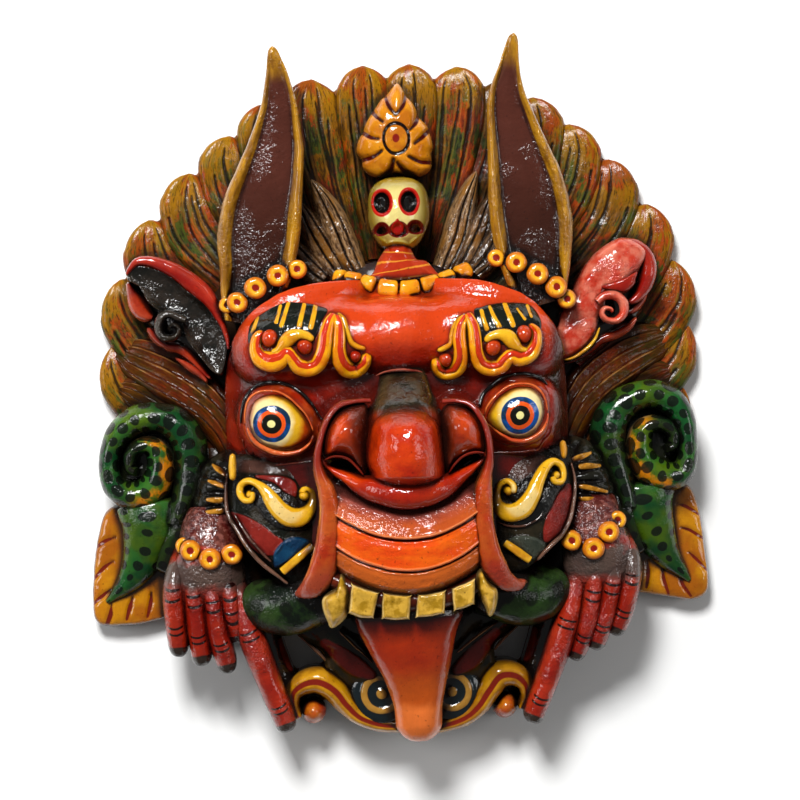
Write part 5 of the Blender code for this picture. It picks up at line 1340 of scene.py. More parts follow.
jaw = {
    "foot": 36.0, "rise": 9.0, "brink": -112.0, "slope": 0.26, "redRise": 0.8,
    "facetDepth": 2.4, "facetWidth": 13.0,
    # Rise, place and width of each ring on the two discs
    "rings": ((0.8, 0.56, 0.11), (0.9, 0.0, 0.17)),
    "body": ((-63, -106), (-57, -116), (-49, -124), (-42, -129.5), (-40, -138), (-33, -148), (-20, -158),
        (0, -161), (24, -158), (38, -148), (44, -138), (44, -128), (49, -123), (57, -115), (63, -106),
        (40, -96), (0, -92), (-40, -96)),
    "redLeft": (((-40, -124, 2.6), (-33, -130, 4.2), (-25.5, -136, 4.6), (-18, -140, 2.6)),),
    "redRight": (((44, -121, 2.6), (37.5, -128, 4.2), (31, -134.5, 4.6), (24.5, -139, 2.6)),),
    "edges": (((-53.5, -119, 35, 0.6, 3), (-45, -127.5, 37, 0.8, 3), (-40, -133, 36, 0.6, 3)),
        ((-33, -117.5, 46, 0.5, 2), (-25.5, -125.5, 45, 0.7, 2), (-17, -134, 41, 0.5, 2)),
        ((48, -113.5, 43, 0.5, 2), (37, -120, 46, 0.7, 2), (24, -130, 43, 0.5, 2)), ((57, -116.5, 34, 0.6, 3),
        (48, -124.5, 37, 0.8, 3), (43.5, -130, 36, 0.6, 3))),
    "spiralLeft": ((-13.0, -149.8), 15.2), "spiralRight": ((22.0, -149.8), 14.6),
    "curlLeft": ((-54.5, -161, 22, 2.6, 9), (-57, -154, 24, 3.4, 10), (-56, -147.6, 25, 4.8, 11),
        (-50, -143.6, 26, 6.2, 12), (-42.6, -143.4, 27, 6.8, 12.5), (-35.8, -148, 27, 6.6, 12),
        (-30, -155.4, 26, 5.8, 11.5), (-22.6, -162.2, 25, 4.8, 11), (-12.6, -166, 24, 4.2, 10.5),
        (0, -167, 24, 3.8, 10)),
    "curlRight": ((56.5, -160, 22, 2.6, 9), (59, -152.6, 24, 3.4, 10), (57.6, -146.4, 25, 4.8, 11),
        (52.4, -142.4, 26, 6.2, 12), (45.4, -143, 27, 6.8, 12.5), (40.2, -149.6, 27, 6.4, 12),
        (34.8, -157.6, 26, 5.6, 11.5), (27, -164, 25, 4.8, 11), (16, -167, 24, 4.2, 10.5),
        (6, -167.6, 24, 3.8, 10)),
    "balls": ((-46.8, -158.6, 6.4, 6.8), (48.6, -158.8, 6.4, 6.6)), "floor": 1.0,
}
jawRed = strokesOf(jaw["redLeft"] + jaw["redRight"])


def jawHeight(reach, x, y):
    slant = np.abs(x - 2.0) * 0.8 - y * 0.6
    facet = jaw["facetDepth"] * np.abs((slant / jaw["facetWidth"]) % 1.0 - 0.5)
    z = jaw["foot"] + jaw["rise"] * (1.0 - reach ** 4.0) ** 0.5
    z = z - jaw["slope"] * np.maximum(jaw["brink"] - y, 0.0) + facet
    return z + jaw["redRise"] * within(-0.6, 0.4, jawRed(x, y))


carve("jaw", [mark(plaque(jaw["body"], jawHeight, jaw["floor"], 0.9, (0.0, -124.0)), stroke=jawRed)], "jaw")
carve("jawEdges", [sweep(rows, 0.8, 10, rounded=(1.0, 1.0)) for rows in jaw["edges"]], "darkRim")


def groovedDisc(x, y, z, reach):
    for rise, at, width in jaw["rings"]:
        z = z + rise * bell(reach - at, width, 4)
    return x, y, z


spirals = []
for side in ("Left", "Right"):
    centre, radius = jaw["spiral" + side]
    spirals.append(dome(centre, (radius, radius), 33.0, 37.0, jaw["floor"], spacing=0.5, crown=0.4,
                        shape=groovedDisc))
carve("jawSpirals", spirals, "spiral")
curls = []
striped = lambda c, run, s: -0.8 * bell(c, 0.3, 4) * (s > 0.1)
for side in ("Left", "Right"):
    curls.append(sweep(jaw["curl" + side], 0.7, 44, 2.2, rounded=(2.5, 0.0), shape=striped))
    foot = [(x, y, 10.0, half * 0.92, 12.0, jaw["floor"]) for x, y, z, half, tall in jaw["curl" + side]]
    curls.append(mark(relief(foot, samples=17), across=0.9))
carve("jawCurls", curls, "jawCurl")
carve("jawBalls", [dome((x, y), (rx, ry), 20.0, 33.0, jaw["floor"], spacing=0.6)
                   for x, y, rx, ry in jaw["balls"]], "jawBall")


# Join the forms of a piece, let the knife wander a little, and keep the arrays for the glaze and its painted
# shade

knife = {"wander": 0.38, "wanderSize": 13.0, "slip": 0.13, "slipSize": 4.2, "facet": 0.06, "facetSize": 1.7}


def handCarved(points):
    moved = points.copy()
    hold = np.clip(points[:, 2] / 6.0, 0.0, 1.0)
    for axis in range(3):
        shift = knife["wander"] * valueNoise(points, knife["wanderSize"], 10 + axis)
        shift += knife["slip"] * valueNoise(points, knife["slipSize"], 20 + axis)
        shift += knife["facet"] * valueNoise(points, knife["facetSize"], 30 + axis)
        moved[:, axis] += shift * hold
    return moved


def joined(forms):
    names = sorted({name for form in forms for name in form["marks"]})
    start = 0
    points, polygons = [], []
    marks = {name: [] for name in names}
    for number, form in enumerate(forms):
        points.append(form["points"])
        polygons.append((form["quads"] + start, [[start + v for v in cap] for cap in form["caps"]]))
        for name in names:
            marks[name].append(form["marks"].get(name, np.zeros(len(form["points"]))))
        start += len(form["points"])
    quads = np.vstack([quads for quads, caps in polygons])
    caps = [cap for quads, caps in polygons for cap in caps]
    return np.vstack(points), quads, caps, {name: np.concatenate(values) for name, values in marks.items()}


def buildMesh(name, points, quads, caps, marks):
    mesh = bpy.data.meshes.new(name)
    corners = np.concatenate([quads.reshape(-1)] + [np.array(cap) for cap in caps]).astype(np.int32)
    sizes = np.concatenate([np.full(len(quads), 4), [len(cap) for cap in caps]]).astype(np.int32)
    mesh.vertices.add(len(points))
    mesh.vertices.foreach_set("co", (points * unit).astype(np.float32).reshape(-1))
    mesh.loops.add(len(corners))
    mesh.loops.foreach_set("vertex_index", corners)
    mesh.polygons.add(len(sizes))
    mesh.polygons.foreach_set("loop_start", np.concatenate([[0], np.cumsum(sizes)[:-1]]).astype(np.int32))
    mesh.update(calc_edges=True)
    mesh.validate()
    mesh.polygons.foreach_set("use_smooth", np.ones(len(mesh.polygons), bool))
    mesh.set_sharp_from_angle(angle=math.radians(62.0))
    for key, values in marks.items():
        layer = mesh.attributes.new(key, "FLOAT", "POINT")
        layer.data.foreach_set("value", values.astype(np.float32))
    return mesh


pieces = {}
for name, forms, finish in carvings:
    points, quads, caps, marks = joined(forms)
    pieces[name] = {"points": handCarved(points), "quads": quads, "caps": caps, "marks": marks,
                    "finish": finish}

# Height map of the whole front, for the glaze with painted shade in the hollows and the wear with painted
# highlight on the ridges

glazeShadeMap = {"cell": 0.8, "rays": 14, "steps": (0.8, 1.6, 2.6, 4.0, 6.0, 9.0), "slack": 0.3, "blur": 2.0}


def heightMap():
    cell = glazeShadeMap["cell"]
    low = np.array([-170.0, -190.0])
    shape = (int(340 / cell), int(385 / cell))
    grid = np.zeros(shape)
    for piece in pieces.values():
        index = ((piece["points"][:, :2] - low) / cell).astype(int)
        np.maximum.at(grid, (index[:, 0], index[:, 1]), piece["points"][:, 2])
    wide = grid.copy()
    for dx in (-1, 0, 1):
        for dy in (-1, 0, 1):
            wide = np.maximum(wide, np.roll(grid, (dx, dy), (0, 1)))
    filled = wide.copy()
    for dx in (-1, 0, 1):
        for dy in (-1, 0, 1):
            filled = np.minimum(filled, np.roll(wide, (dx, dy), (0, 1)))
    return low, cell, filled


def blurred(grid, radius):
    reach = int(radius * 3) + 1
    weights = np.exp(-0.5 * (np.arange(-reach, reach + 1) / radius) ** 2)
    weights /= weights.sum()
    for axis in (0, 1):
        total = np.zeros_like(grid)
        for offset, weight in zip(range(-reach, reach + 1), weights):
            total += weight * np.roll(grid, offset, axis)
        grid = total
    return grid


low, cell, top = heightMap()
soft = blurred(top, glazeShadeMap["blur"] / cell)


def sampleGrid(grid, x, y):
    u = np.clip((x - low[0]) / cell - 0.5, 0.0, grid.shape[0] - 2.001)
    v = np.clip((y - low[1]) / cell - 0.5, 0.0, grid.shape[1] - 2.001)
    i, j = u.astype(int), v.astype(int)
    a, b = u - i, v - j
    return (grid[i, j] * (1 - a) * (1 - b) + grid[i + 1, j] * a * (1 - b)
            + grid[i, j + 1] * (1 - a) * b + grid[i + 1, j + 1] * a * b)


def shading(points):
    # How closed in each point is, 0 to 1, and how far it stands above its surroundings
    x, y, z = points.T
    closed = np.zeros(len(points))
    for ray in range(glazeShadeMap["rays"]):
        a = turn * ray / glazeShadeMap["rays"]
        horizon = np.zeros(len(points))
        for step in glazeShadeMap["steps"]:
            rise = sampleGrid(top, x + step * math.cos(a),
                              y + step * math.sin(a)) - z - glazeShadeMap["slack"] * step
            horizon = np.maximum(horizon, rise / np.hypot(rise, step))
        closed += np.clip(horizon, 0.0, 1.0)
    closed /= glazeShadeMap["rays"]
    # Points that lie under another form get the full painted shade
    covered = smoothStep(0.8, 2.5, sampleGrid(top, x, y) - z)
    return np.maximum(closed, covered), z - sampleGrid(soft, x, y)


for piece in pieces.values():
    piece["marks"]["closed"], piece["marks"]["ridge"] = shading(piece["points"])
print("glaze and wear worked out")


# Colours and shader helpers; they add to the node tree that is being built

work = {"tree": None}
white = (1.0, 1.0, 1.0, 1.0)


def rgb(*screen):
    # Screen colour to the shader's own
    shares = [value / 255.0 for value in screen]
    return (*(c / 12.92 if c <= 0.04045 else ((c + 0.055) / 1.055) ** 2.4 for c in shares), 1.0)


def node(kind, inputs=None, **settings):
    tree = work["tree"]
    item = tree.nodes.new(kind)
    for key, value in settings.items():
        setattr(item, key, value)
    for key, value in (inputs or {}).items():
        if isinstance(value, bpy.types.NodeSocket):
            tree.links.new(value, item.inputs[key])
        else:
            item.inputs[key].default_value = value
    return item


def readMark(name):
    return node("ShaderNodeAttribute", attribute_type="GEOMETRY", attribute_name=name).outputs["Fac"]


def calc(operation, a, b=0.0, c=0.0):
    return node("ShaderNodeMath", {0: a, 1: b, 2: c}, operation=operation).outputs[0]


def plus(a, b):
    return calc("ADD", a, b)


def minus(a, b):
    return calc("SUBTRACT", a, b)


def times(a, b):
    return calc("MULTIPLY", a, b)


def apart(a, b):
    return calc("ABSOLUTE", minus(a, b))


def triple(x, y, z):
    return node("ShaderNodeCombineXYZ", {0: x, 1: y, 2: z}).outputs[0]


def ramp(value, low, high, first=0.0, last=1.0):
    # Eases from the first value at low to the last one at high
    inputs = {"Value": value, "From Min": low, "From Max": high, "To Min": first, "To Max": last}
    return node("ShaderNodeMapRange", inputs, interpolation_type="SMOOTHSTEP", clamp=True).outputs["Result"]


def fall(value, low, high):
    return ramp(value, low, high, 1.0, 0.0)


def blend(mask, a, b, share=1.0, mode="MIX"):
    # Colours are node outputs, the shader's own four numbers, or three screen numbers
    a, b = (rgb(*c) if isinstance(c, tuple) and len(c) == 3 else c for c in (a, b))
    mask = times(mask, share) if share != 1.0 else mask
    return node("ShaderNodeMix", {0: mask, 6: a, 7: b}, data_type="RGBA", blend_type=mode).outputs[2]


def objectPlace(scale=(1.0, 1.0, 1.0), turnZ=0.0):
    coords = node("ShaderNodeTexCoord").outputs["Object"]
    return node("ShaderNodeMapping", {"Vector": coords, "Scale": scale,
                                      "Rotation": (0.0, 0.0, turnZ)}).outputs["Vector"]


def objectAxis(axis):
    return node("ShaderNodeSeparateXYZ", {0: node("ShaderNodeTexCoord").outputs["Object"]}).outputs[axis]


def noise(scale, detail=3.0, roughness=0.6, vector=None):
    inputs = {"Vector": vector or objectPlace(), "Scale": scale, "Detail": detail, "Roughness": roughness}
    return node("ShaderNodeTexNoise", inputs).outputs["Fac"]


def waver(scale, reach):
    # Noise about zero that makes a painted edge uneven
    return times(minus(noise(scale), 0.5), reach)


def mottled(scale, first, second, low=0.35, high=0.65):
    return blend(ramp(noise(scale), low, high), first, second)


def cloudy(scale, first, second):
    return blend(noise(scale), first, second)


def newGroup(name, inputs, outputs):
    tree = bpy.data.node_groups.new(name, "ShaderNodeTree")
    for label, value in inputs.items():
        kind = "NodeSocketColor" if label == "Color" else "NodeSocketFloat"
        tree.interface.new_socket(label, in_out="INPUT", socket_type=kind).default_value = value
    for label in outputs:
        kind = "NodeSocketColor" if label == "Color" else "NodeSocketFloat"
        tree.interface.new_socket(label, in_out="OUTPUT", socket_type=kind)
    work["tree"] = tree
    return tree, tree.nodes.new("NodeGroupInput"), tree.nodes.new("NodeGroupOutput")


def useGroup(group, inputs):
    return node("ShaderNodeGroup", inputs, node_tree=group)


def makeBrushwork():
    # Uneven coat: broad patches, fine brush marks and small dark flecks
    tree, given, out = newGroup("brushwork", {"Color": white, "Patches": 0.2, "Strokes": 0.15, "Flecks": 0.5},
                                ["Color"])
    patches = noise(75.0, 4.0)
    strokes = noise(900.0, 3.0, vector=objectPlace((1.0, 0.22, 0.6), 0.5))
    flecks = noise(620.0, 2.0)
    gain = calc("MULTIPLY_ADD", minus(patches, 0.5), times(given.outputs["Patches"], 2.0), 1.0)
    gain = plus(gain, times(minus(strokes, 0.5), given.outputs["Strokes"]))
    fleck = times(ramp(flecks, 0.64, 0.74), given.outputs["Flecks"])
    gain = times(gain, minus(1.0, fleck))
    scaled = node("ShaderNodeVectorMath", {0: given.outputs["Color"], "Scale": gain}, operation="SCALE")
    tree.links.new(scaled.outputs["Vector"], out.inputs["Color"])
    return tree


def makeGlazeAndShade():
    # Dark antique glaze with painted shade: a brown wash in the low places, black where they close in or lie
    # under other forms
    tree, given, out = newGroup("creaseGlazeAndShade", {"Color": white, "Closed": 0.0, "Ridge": 0.0, "Amount": 1.0},
                                ["Color", "Mask"])
    uneven = minus(noise(240.0, 4.0), 0.5)
    dip = times(given.outputs["Ridge"], -0.14)
    depth = plus(plus(given.outputs["Closed"], dip), times(uneven, 0.3))
    washAndShade = times(ramp(depth, 0.16, 0.6), given.outputs["Amount"])
    poolAndShade = times(ramp(depth, 0.42, 0.9), given.outputs["Amount"])
    washedAndShaded = blend(washAndShade, given.outputs["Color"], (0.22, 0.13, 0.10, 1.0), mode="MULTIPLY")
    tree.links.new(blend(calc("MINIMUM", poolAndShade, 0.95), washedAndShaded, (0.005, 0.0035, 0.003, 1.0)),
                   out.inputs["Color"])
    tree.links.new(washAndShade, out.inputs["Mask"])
    return tree


def makeEdgeWearAndHighlight():
    # Ridges made lighter: paint rubbed lighter there, and a painted highlight along them
    tree, given, out = newGroup("edgeWearAndHighlight", {"Color": white, "Ridge": 0.0, "Amount": 0.4}, ["Color"])
    uneven = minus(noise(420.0, 3.0), 0.5)
    rubbedAndLit = plus(given.outputs["Ridge"], times(uneven, 1.6))
    mask = times(ramp(rubbedAndLit, 0.5, 2.2), given.outputs["Amount"])
    lift = {0: given.outputs["Color"], 1: (1.35, 1.35, 1.35), 2: (0.05, 0.035, 0.02)}
    lighter = node("ShaderNodeVectorMath", lift, operation="MULTIPLY_ADD").outputs["Vector"]
    tree.links.new(blend(mask, given.outputs["Color"], lighter), out.inputs["Color"])
    return tree


def makeVarnish():
    # Thick uneven varnish: grit and beads of lacquer that glitter, in patches, over a slight orange peel
    tree, given, out = newGroup("varnishSkin", {"Nibs": 0.5, "Peel": 0.4, "Grain": 0.2}, ["Height"])
    patchy = ramp(noise(45.0, 2.0), 0.41, 0.6)
    nibs = times(noise(560.0, 2.0, 0.7), calc("MULTIPLY_ADD", patchy, 0.9, 0.1))
    peel = noise(330.0, 2.0)
    grain = noise(700.0, 3.0, vector=objectPlace((1.0, 0.12, 1.0)))
    total = times(nibs, given.outputs["Nibs"])
    total = calc("MULTIPLY_ADD", peel, given.outputs["Peel"], total)
    total = calc("MULTIPLY_ADD", grain, given.outputs["Grain"], total)
    tree.links.new(total, out.inputs["Height"])
    return tree


brushwork, creaseGlazeAndShade, edgeWearAndHighlight, varnishSkin = makeBrushwork(), makeGlazeAndShade(), makeEdgeWearAndHighlight(), makeVarnish()
varnish = {"washRough": 0.2, "bumpStrength": 0.8, "bumpDistance": 0.0008, "specular": 0.03}


def paintedFinish(name, colour, glazeAndShade=1.0, wearAndHighlight=0.3, patches=0.22, strokes=0.2, flecks=0.5, rough=0.4,
                  coat=1.0,
                  coatRough=0.08, nibs=0.28, peel=0.28, grain=0.07):
    # One varnished paint: colour gives the bare paint from the piece's marks
    material = bpy.data.materials.new(name)
    material.use_nodes = True
    tree = work["tree"] = material.node_tree
    shader = tree.nodes["Principled BSDF"]
    bare = colour()
    ridge = readMark("ridge")
    brushed = useGroup(brushwork, {"Color": bare, "Patches": patches, "Strokes": strokes, "Flecks": flecks})
    wornAndLit = useGroup(edgeWearAndHighlight, {"Color": brushed.outputs["Color"], "Ridge": ridge, "Amount": wearAndHighlight})
    washedAndShaded = {"Color": wornAndLit.outputs["Color"], "Closed": readMark("closed"), "Ridge": ridge, "Amount": glazeAndShade}
    glazedAndShaded = useGroup(creaseGlazeAndShade, washedAndShaded)
    skin = useGroup(varnishSkin, {"Nibs": nibs, "Peel": peel, "Grain": grain})
    bump = {"Strength": varnish["bumpStrength"], "Distance": varnish["bumpDistance"],
            "Height": skin.outputs["Height"]}
    normal = node("ShaderNodeBump", bump).outputs["Normal"]
    roughness = calc("MULTIPLY_ADD", glazedAndShaded.outputs["Mask"], varnish["washRough"], rough)
    tree.links.new(glazedAndShaded.outputs["Color"], shader.inputs["Base Color"])
    tree.links.new(roughness, shader.inputs["Roughness"])
    tree.links.new(normal, shader.inputs["Normal"])
    tree.links.new(normal, shader.inputs["Coat Normal"])
    shader.inputs["Coat Weight"].default_value = coat
    shader.inputs["Coat Roughness"].default_value = coatRough
    shader.inputs["Specular IOR Level"].default_value = varnish["specular"]
    return material


# What each finish paints

def featherColour():
    # Ochre, rust and olive patches dry brushed over each other, yellower at the tips, dark in the gouges
    along, across, seed = readMark("along"), readMark("across"), readMark("seed")
    gouge, tip = readMark("gouge"), readMark("fromTip")
    streaked = triple(times(across, 9.0), times(along, 0.11), seed)
    patchy = triple(times(across, 1.1), times(along, 0.045), times(seed, 3.7))
    streaks = noise(1.0, 5.0, 0.7, vector=streaked)
    first = calc("MULTIPLY_ADD", streaks, 0.5, noise(1.0, 3.0, vector=patchy))
    second = calc("MULTIPLY_ADD", streaks, 0.5, noise(1.5, 4.0, vector=patchy))
    colour = blend(ramp(streaks, 0.38, 0.6), (66, 40, 4), (126, 80, 5))
    colour = blend(ramp(first, 0.74, 0.82), colour,
                   blend(ramp(streaks, 0.4, 0.6), (96, 30, 6), (152, 58, 10)))
    colour = blend(ramp(second, 0.76, 0.83), colour,
                   blend(ramp(streaks, 0.4, 0.6), (26, 34, 14), (66, 74, 20)))
    yellow = times(fall(calc("MULTIPLY_ADD", streaks, 40.0, tip), 24.0, 48.0), 0.85)
    colour = blend(yellow, colour, blend(ramp(first, 0.7, 0.8), (158, 108, 4), (150, 68, 5)))
    colour = blend(ramp(noise(2.1, 5.0, 0.75, vector=streaked), 0.52, 0.6), colour, (26, 16, 6), 0.7)
    light = times(fall(apart(gouge, 0.09), 0.015, 0.04), 0.14)
    colour = blend(light, colour, (176, 132, 60))
    return blend(fall(gouge, 0.02, 0.06), colour, (18, 10, 5), 0.9)


def leafColour():
    along, across, seed = readMark("along"), readMark("across"), readMark("seed")
    vector = triple(times(across, 7.0), times(along, 0.2), seed)
    streaks = noise(0.9, 5.0, 0.75, vector=vector)
    colour = blend(ramp(streaks, 0.4, 0.62), (150, 116, 78), (62, 38, 20))
    colour = blend(ramp(noise(0.3, 2.0, vector=vector), 0.5, 0.62), colour, (128, 84, 30))
    edge = ramp(calc("ABSOLUTE", across), 0.8, 0.92)
    colour = blend(edge, colour, (166, 126, 78), 0.6)
    return blend(fall(readMark("gouge"), 0.05, 0.12), colour, (24, 13, 6), 0.9)


def plumeColour():
    # Feather paint, darker and redder, with a light line on the edge of each barb
    red = ramp(noise(34.0, 3.0), 0.42, 0.6)
    dark = blend(0.72, featherColour(), blend(red, (54, 28, 4), (76, 20, 5)))
    crest = fall(apart(readMark("crest"), 0.84), 0.02, 0.08)
    crest = times(crest, ramp(noise(40.0), 0.45, 0.6))
    return blend(crest, dark, (176, 124, 64), 0.5)


def hornColour():
    across = calc("ABSOLUTE", readMark("across"))
    rim = ramp(across, 0.64, 0.69)
    tip = fall(readMark("fromTip"), 10.0, 20.0)
    gold = blend(ramp(noise(220.0, vector=objectPlace((1, 0.2, 1))), 0.35, 0.65), (120, 76, 6),
                 (166, 116, 10))
    body = blend(fall(readMark("along"), 20.0, 90.0), (74, 34, 24), (44, 16, 6))
    return blend(calc("MAXIMUM", rim, tip), body, gold)


def beadColour():
    radius = readMark("radius")
    uneven = waver(260.0, 2.4)
    ring = blend(ramp(plus(radius, uneven), 2.6, 4.6), (226, 158, 24), (186, 100, 6))
    return blend(fall(calc("MULTIPLY_ADD", uneven, 0.3, radius), 1.5, 1.9), ring, (128, 20, 4))


def jewelColour():
    gold = mottled(90.0, (176, 98, 8), (204, 130, 14))
    ring = apart(readMark("ring"), 1.0)
    colour = blend(fall(readMark("stroke"), -0.2, 0.25), gold, (76, 8, 8))
    colour = blend(fall(ring, 0.09, 0.15), colour, (34, 8, 12))
    return blend(fall(readMark("ring"), 0.24, 0.32), colour, (120, 16, 4))


def skullColour():
    bone = blend(ramp(readMark("reach"), 0.5, 0.95), (206, 190, 116), (136, 112, 16))
    socket, mouth = readMark("socket"), readMark("mouth")
    colour = blend(fall(mouth, 0.1, 0.6), bone, (96, 8, 6))
    colour = blend(fall(mouth, -2.0, -1.5), colour, (10, 5, 4))
    colour = blend(fall(readMark("nose"), -0.1, 0.4), colour, (156, 14, 8))
    colour = blend(fall(socket, 1.36, 1.42), colour, (170, 18, 6))
    colour = blend(fall(socket, 0.98, 1.04), colour, (8, 9, 6))
    return blend(fall(readMark("lip"), -0.1, 0.4), colour, (156, 124, 20))


def collarColour():
    lines = calc("SINE", times(plus(readMark("along"), waver(120.0, 1.2)), turn / 4.3))
    colour = cloudy(110.0, (150, 22, 5), (172, 50, 12))
    return blend(ramp(lines, 0.78, 0.98), colour, (214, 140, 40), 0.75)


def faceColour():
    y = readMark("along")
    patchy = noise(30.0, 3.0)
    colour = blend(ramp(patchy, 0.38, 0.66), (148, 22, 6), (176, 40, 10))
    colour = blend(ramp(y, 14.0, 28.0), colour, (198, 60, 8), 0.8)
    # Painted shade laid over the red where the face is shaded
    return blend(readMark("deep"), colour, (62, 6, 5), 0.85)


def browHairColour():
    glossy = cloudy(120.0, (8, 12, 8), (18, 26, 14))
    line = cloudy(200.0, (196, 120, 8), (230, 176, 24))
    return blend(fall(readMark("stroke"), -0.1, 0.3), glossy, line)


def browBandColour():
    outer = plus(readMark("outer"), waver(170.0, 0.2))
    gold = mottled(110.0, (214, 118, 4), (228, 158, 10))
    stripe = cloudy(100.0, (178, 26, 6), (204, 60, 14))
    colour = blend(fall(outer, 0.03, 0.09), gold, stripe)
    return blend(fall(outer, -0.68, -0.6), colour, (226, 146, 8))


def eyeColour():
    pupil = readMark("pupil")
    inner = readMark("inner")
    uneven = waver(110.0, 5.0)
    warm = plus(plus(pupil, times(inner, 0.22)), uneven)
    colour = blend(ramp(warm, 10.6, 14.5), (226, 210, 150), (216, 166, 26))
    colour = blend(ramp(warm, 15.5, 20.0), colour, (176, 60, 8))
    colour = blend(ramp(readMark("reach"), 0.82, 0.98), colour, (176, 66, 10), 0.8)
    blue = mottled(95.0, (4, 76, 150), (6, 40, 66), 0.38, 0.6)
    colour = blend(fall(pupil, 8.9, 9.2), colour, blue)
    colour = blend(fall(pupil, 6.6, 6.85), colour, cloudy(160.0, (206, 62, 8), (226, 92, 20)))
    colour = blend(fall(pupil, 4.65, 4.9), colour, (10, 9, 5))
    return blend(fall(pupil, 1.75, 2.0), colour, (222, 214, 140))


def plain(first, second, size=90.0):
    return lambda: mottled(size, first, second)


def noseColour():
    # Red, olive black where it runs up between the brows, with painted shade underneath
    y = readMark("along")
    uneven = waver(70.0, 9.0)
    colour = mottled(55.0, (168, 30, 3), (196, 56, 5))
    olive = mottled(90.0, (30, 24, 12), (58, 46, 28), 0.4, 0.6)
    colour = blend(ramp(plus(y, uneven), -19.0, -7.0), colour, olive)
    # Painted shade on the underside of the nose
    return blend(fall(y, -48.5, -41.0), colour, (132, 14, 3), 0.6)


def wingColour():
    y = readMark("along")
    inward = times(calc("ABSOLUTE", objectAxis("X")), 1.0 / unit)
    uneven = waver(90.0, 6.0)
    colour = mottled(55.0, (168, 38, 5), (192, 62, 10))
    # Painted shade where the wing runs in beside the nose and up under it
    dark = calc("MAXIMUM", fall(plus(inward, uneven), 20.5, 30.0), ramp(plus(y, uneven), -15.0, -8.0))
    return blend(dark, colour, (38, 22, 16), 0.85)


def muzzleColour():
    band = readMark("band")
    streaks = noise(130.0, vector=objectPlace((0.35, 1, 1)))
    colour = blend(ramp(streaks, 0.35, 0.65), (216, 66, 5), (226, 92, 8))
    colour = blend(ramp(band, -72.2, -71.4), colour, blend(streaks, (168, 60, 14), (196, 92, 34)))
    # Painted reflection: lilac pink sheen in the hollow of the lip under the nose
    valleySheen = ramp(calc("MULTIPLY_ADD", noise(90.0), 6.0, band), -65.0, -56.0)
    colour = blend(valleySheen, colour, blend(streaks, (120, 44, 34), (158, 84, 74)))
    colour = blend(fall(band, -87.4, -86.6), colour, blend(streaks, (168, 72, 18), (190, 92, 26)))
    for at in muzzle["grooves"]:
        line = fall(apart(band, at), 0.15, 0.5)
        # A painted highlight on the bead above each groove, and a dark line in the groove
        light = fall(apart(band, at + 1.25), 0.3, 0.8)
        colour = blend(light, colour, (238, 150, 92), 0.45)
        colour = blend(line, colour, (44, 4, 2), 0.9)
    return blend(fall(band, -98.2, -96.0), colour, (96, 40, 16), 0.5)


def foldColour():
    # Orange brown below, dark red where the fold runs beside the nose, lighter on both edges
    y = plus(times(objectAxis("Y"), 1.0 / unit), waver(70.0, 12.0))
    colour = mottled(60.0, (160, 40, 8), (176, 76, 22))
    colour = blend(ramp(y, -46.0, -30.0), colour, (122, 18, 10))
    colour = blend(fall(y, -90.0, -80.0), colour, (132, 46, 34), 0.7)
    edge = ramp(calc("ABSOLUTE", readMark("across")), 0.82, 0.95)
    return blend(edge, colour, (222, 132, 70), 0.4)


def toothColour():
    middle = mottled(190.0, (196, 152, 52), (150, 112, 14), 0.4, 0.62)
    rim = plus(readMark("reach"), waver(150.0, 0.3))
    return blend(ramp(rim, 0.78, 0.9), middle, (224, 190, 112))


def tongueColour():
    place = plus(readMark("along"), waver(70.0, 14.0))
    colour = cloudy(60.0, (140, 24, 3), (176, 54, 8))
    colour = blend(ramp(place, 36.0, 54.0), colour, (182, 76, 14))
    colour = blend(ramp(place, 56.0, 64.0), colour, (206, 102, 40))
    # Painted shade at the root, where the tongue runs in under the teeth
    return blend(fall(place, 12.0, 26.0), colour, (84, 8, 4))


def coilColour():
    # Emerald and olive skin, an orange belly where the coil turns in, dark dots, dark at neck and middle
    broad = noise(38.0, 3.0)
    skin = blend(ramp(broad, 0.36, 0.6), (10, 60, 26), (66, 92, 12))
    skin = blend(ramp(noise(62.0, 2.0), 0.5, 0.64), skin, (22, 92, 36), 0.55)
    skin = blend(readMark("dark"), skin, (14, 22, 12), 0.8)
    patchy = ramp(noise(150.0, 3.0), 0.34, 0.56)
    skin = blend(times(readMark("belly"), patchy), skin, blend(patchy, (120, 120, 10), (196, 116, 14)))
    skin = blend(readMark("edge"), skin, (150, 142, 100), 0.6)
    return blend(fall(readMark("dot"), -0.3, 0.2), skin, (8, 12, 9), 0.92)


def serpentBodyColour():
    skin = blend(ramp(noise(60.0, 4.0), 0.42, 0.6), (8, 18, 9), (34, 56, 20))
    return blend(fall(readMark("dot"), -0.6, 0.6), skin, (8, 10, 7), 0.8)


def finColour():
    gold = mottled(60.0, (156, 84, 2), (186, 122, 4))
    gold = blend(ramp(readMark("reach"), 0.955, 0.985), gold, (84, 48, 6), 0.7)
    return blend(fall(readMark("stroke"), -0.2, 0.3), gold, (104, 24, 5))


def sleeveColour():
    cloth = cloudy(200.0, (10, 12, 8), (30, 28, 20))
    gold = mottled(300.0, (150, 96, 14), (186, 128, 40), 0.4, 0.6)
    return blend(fall(readMark("stroke"), -0.3, 0.2), cloth, gold)


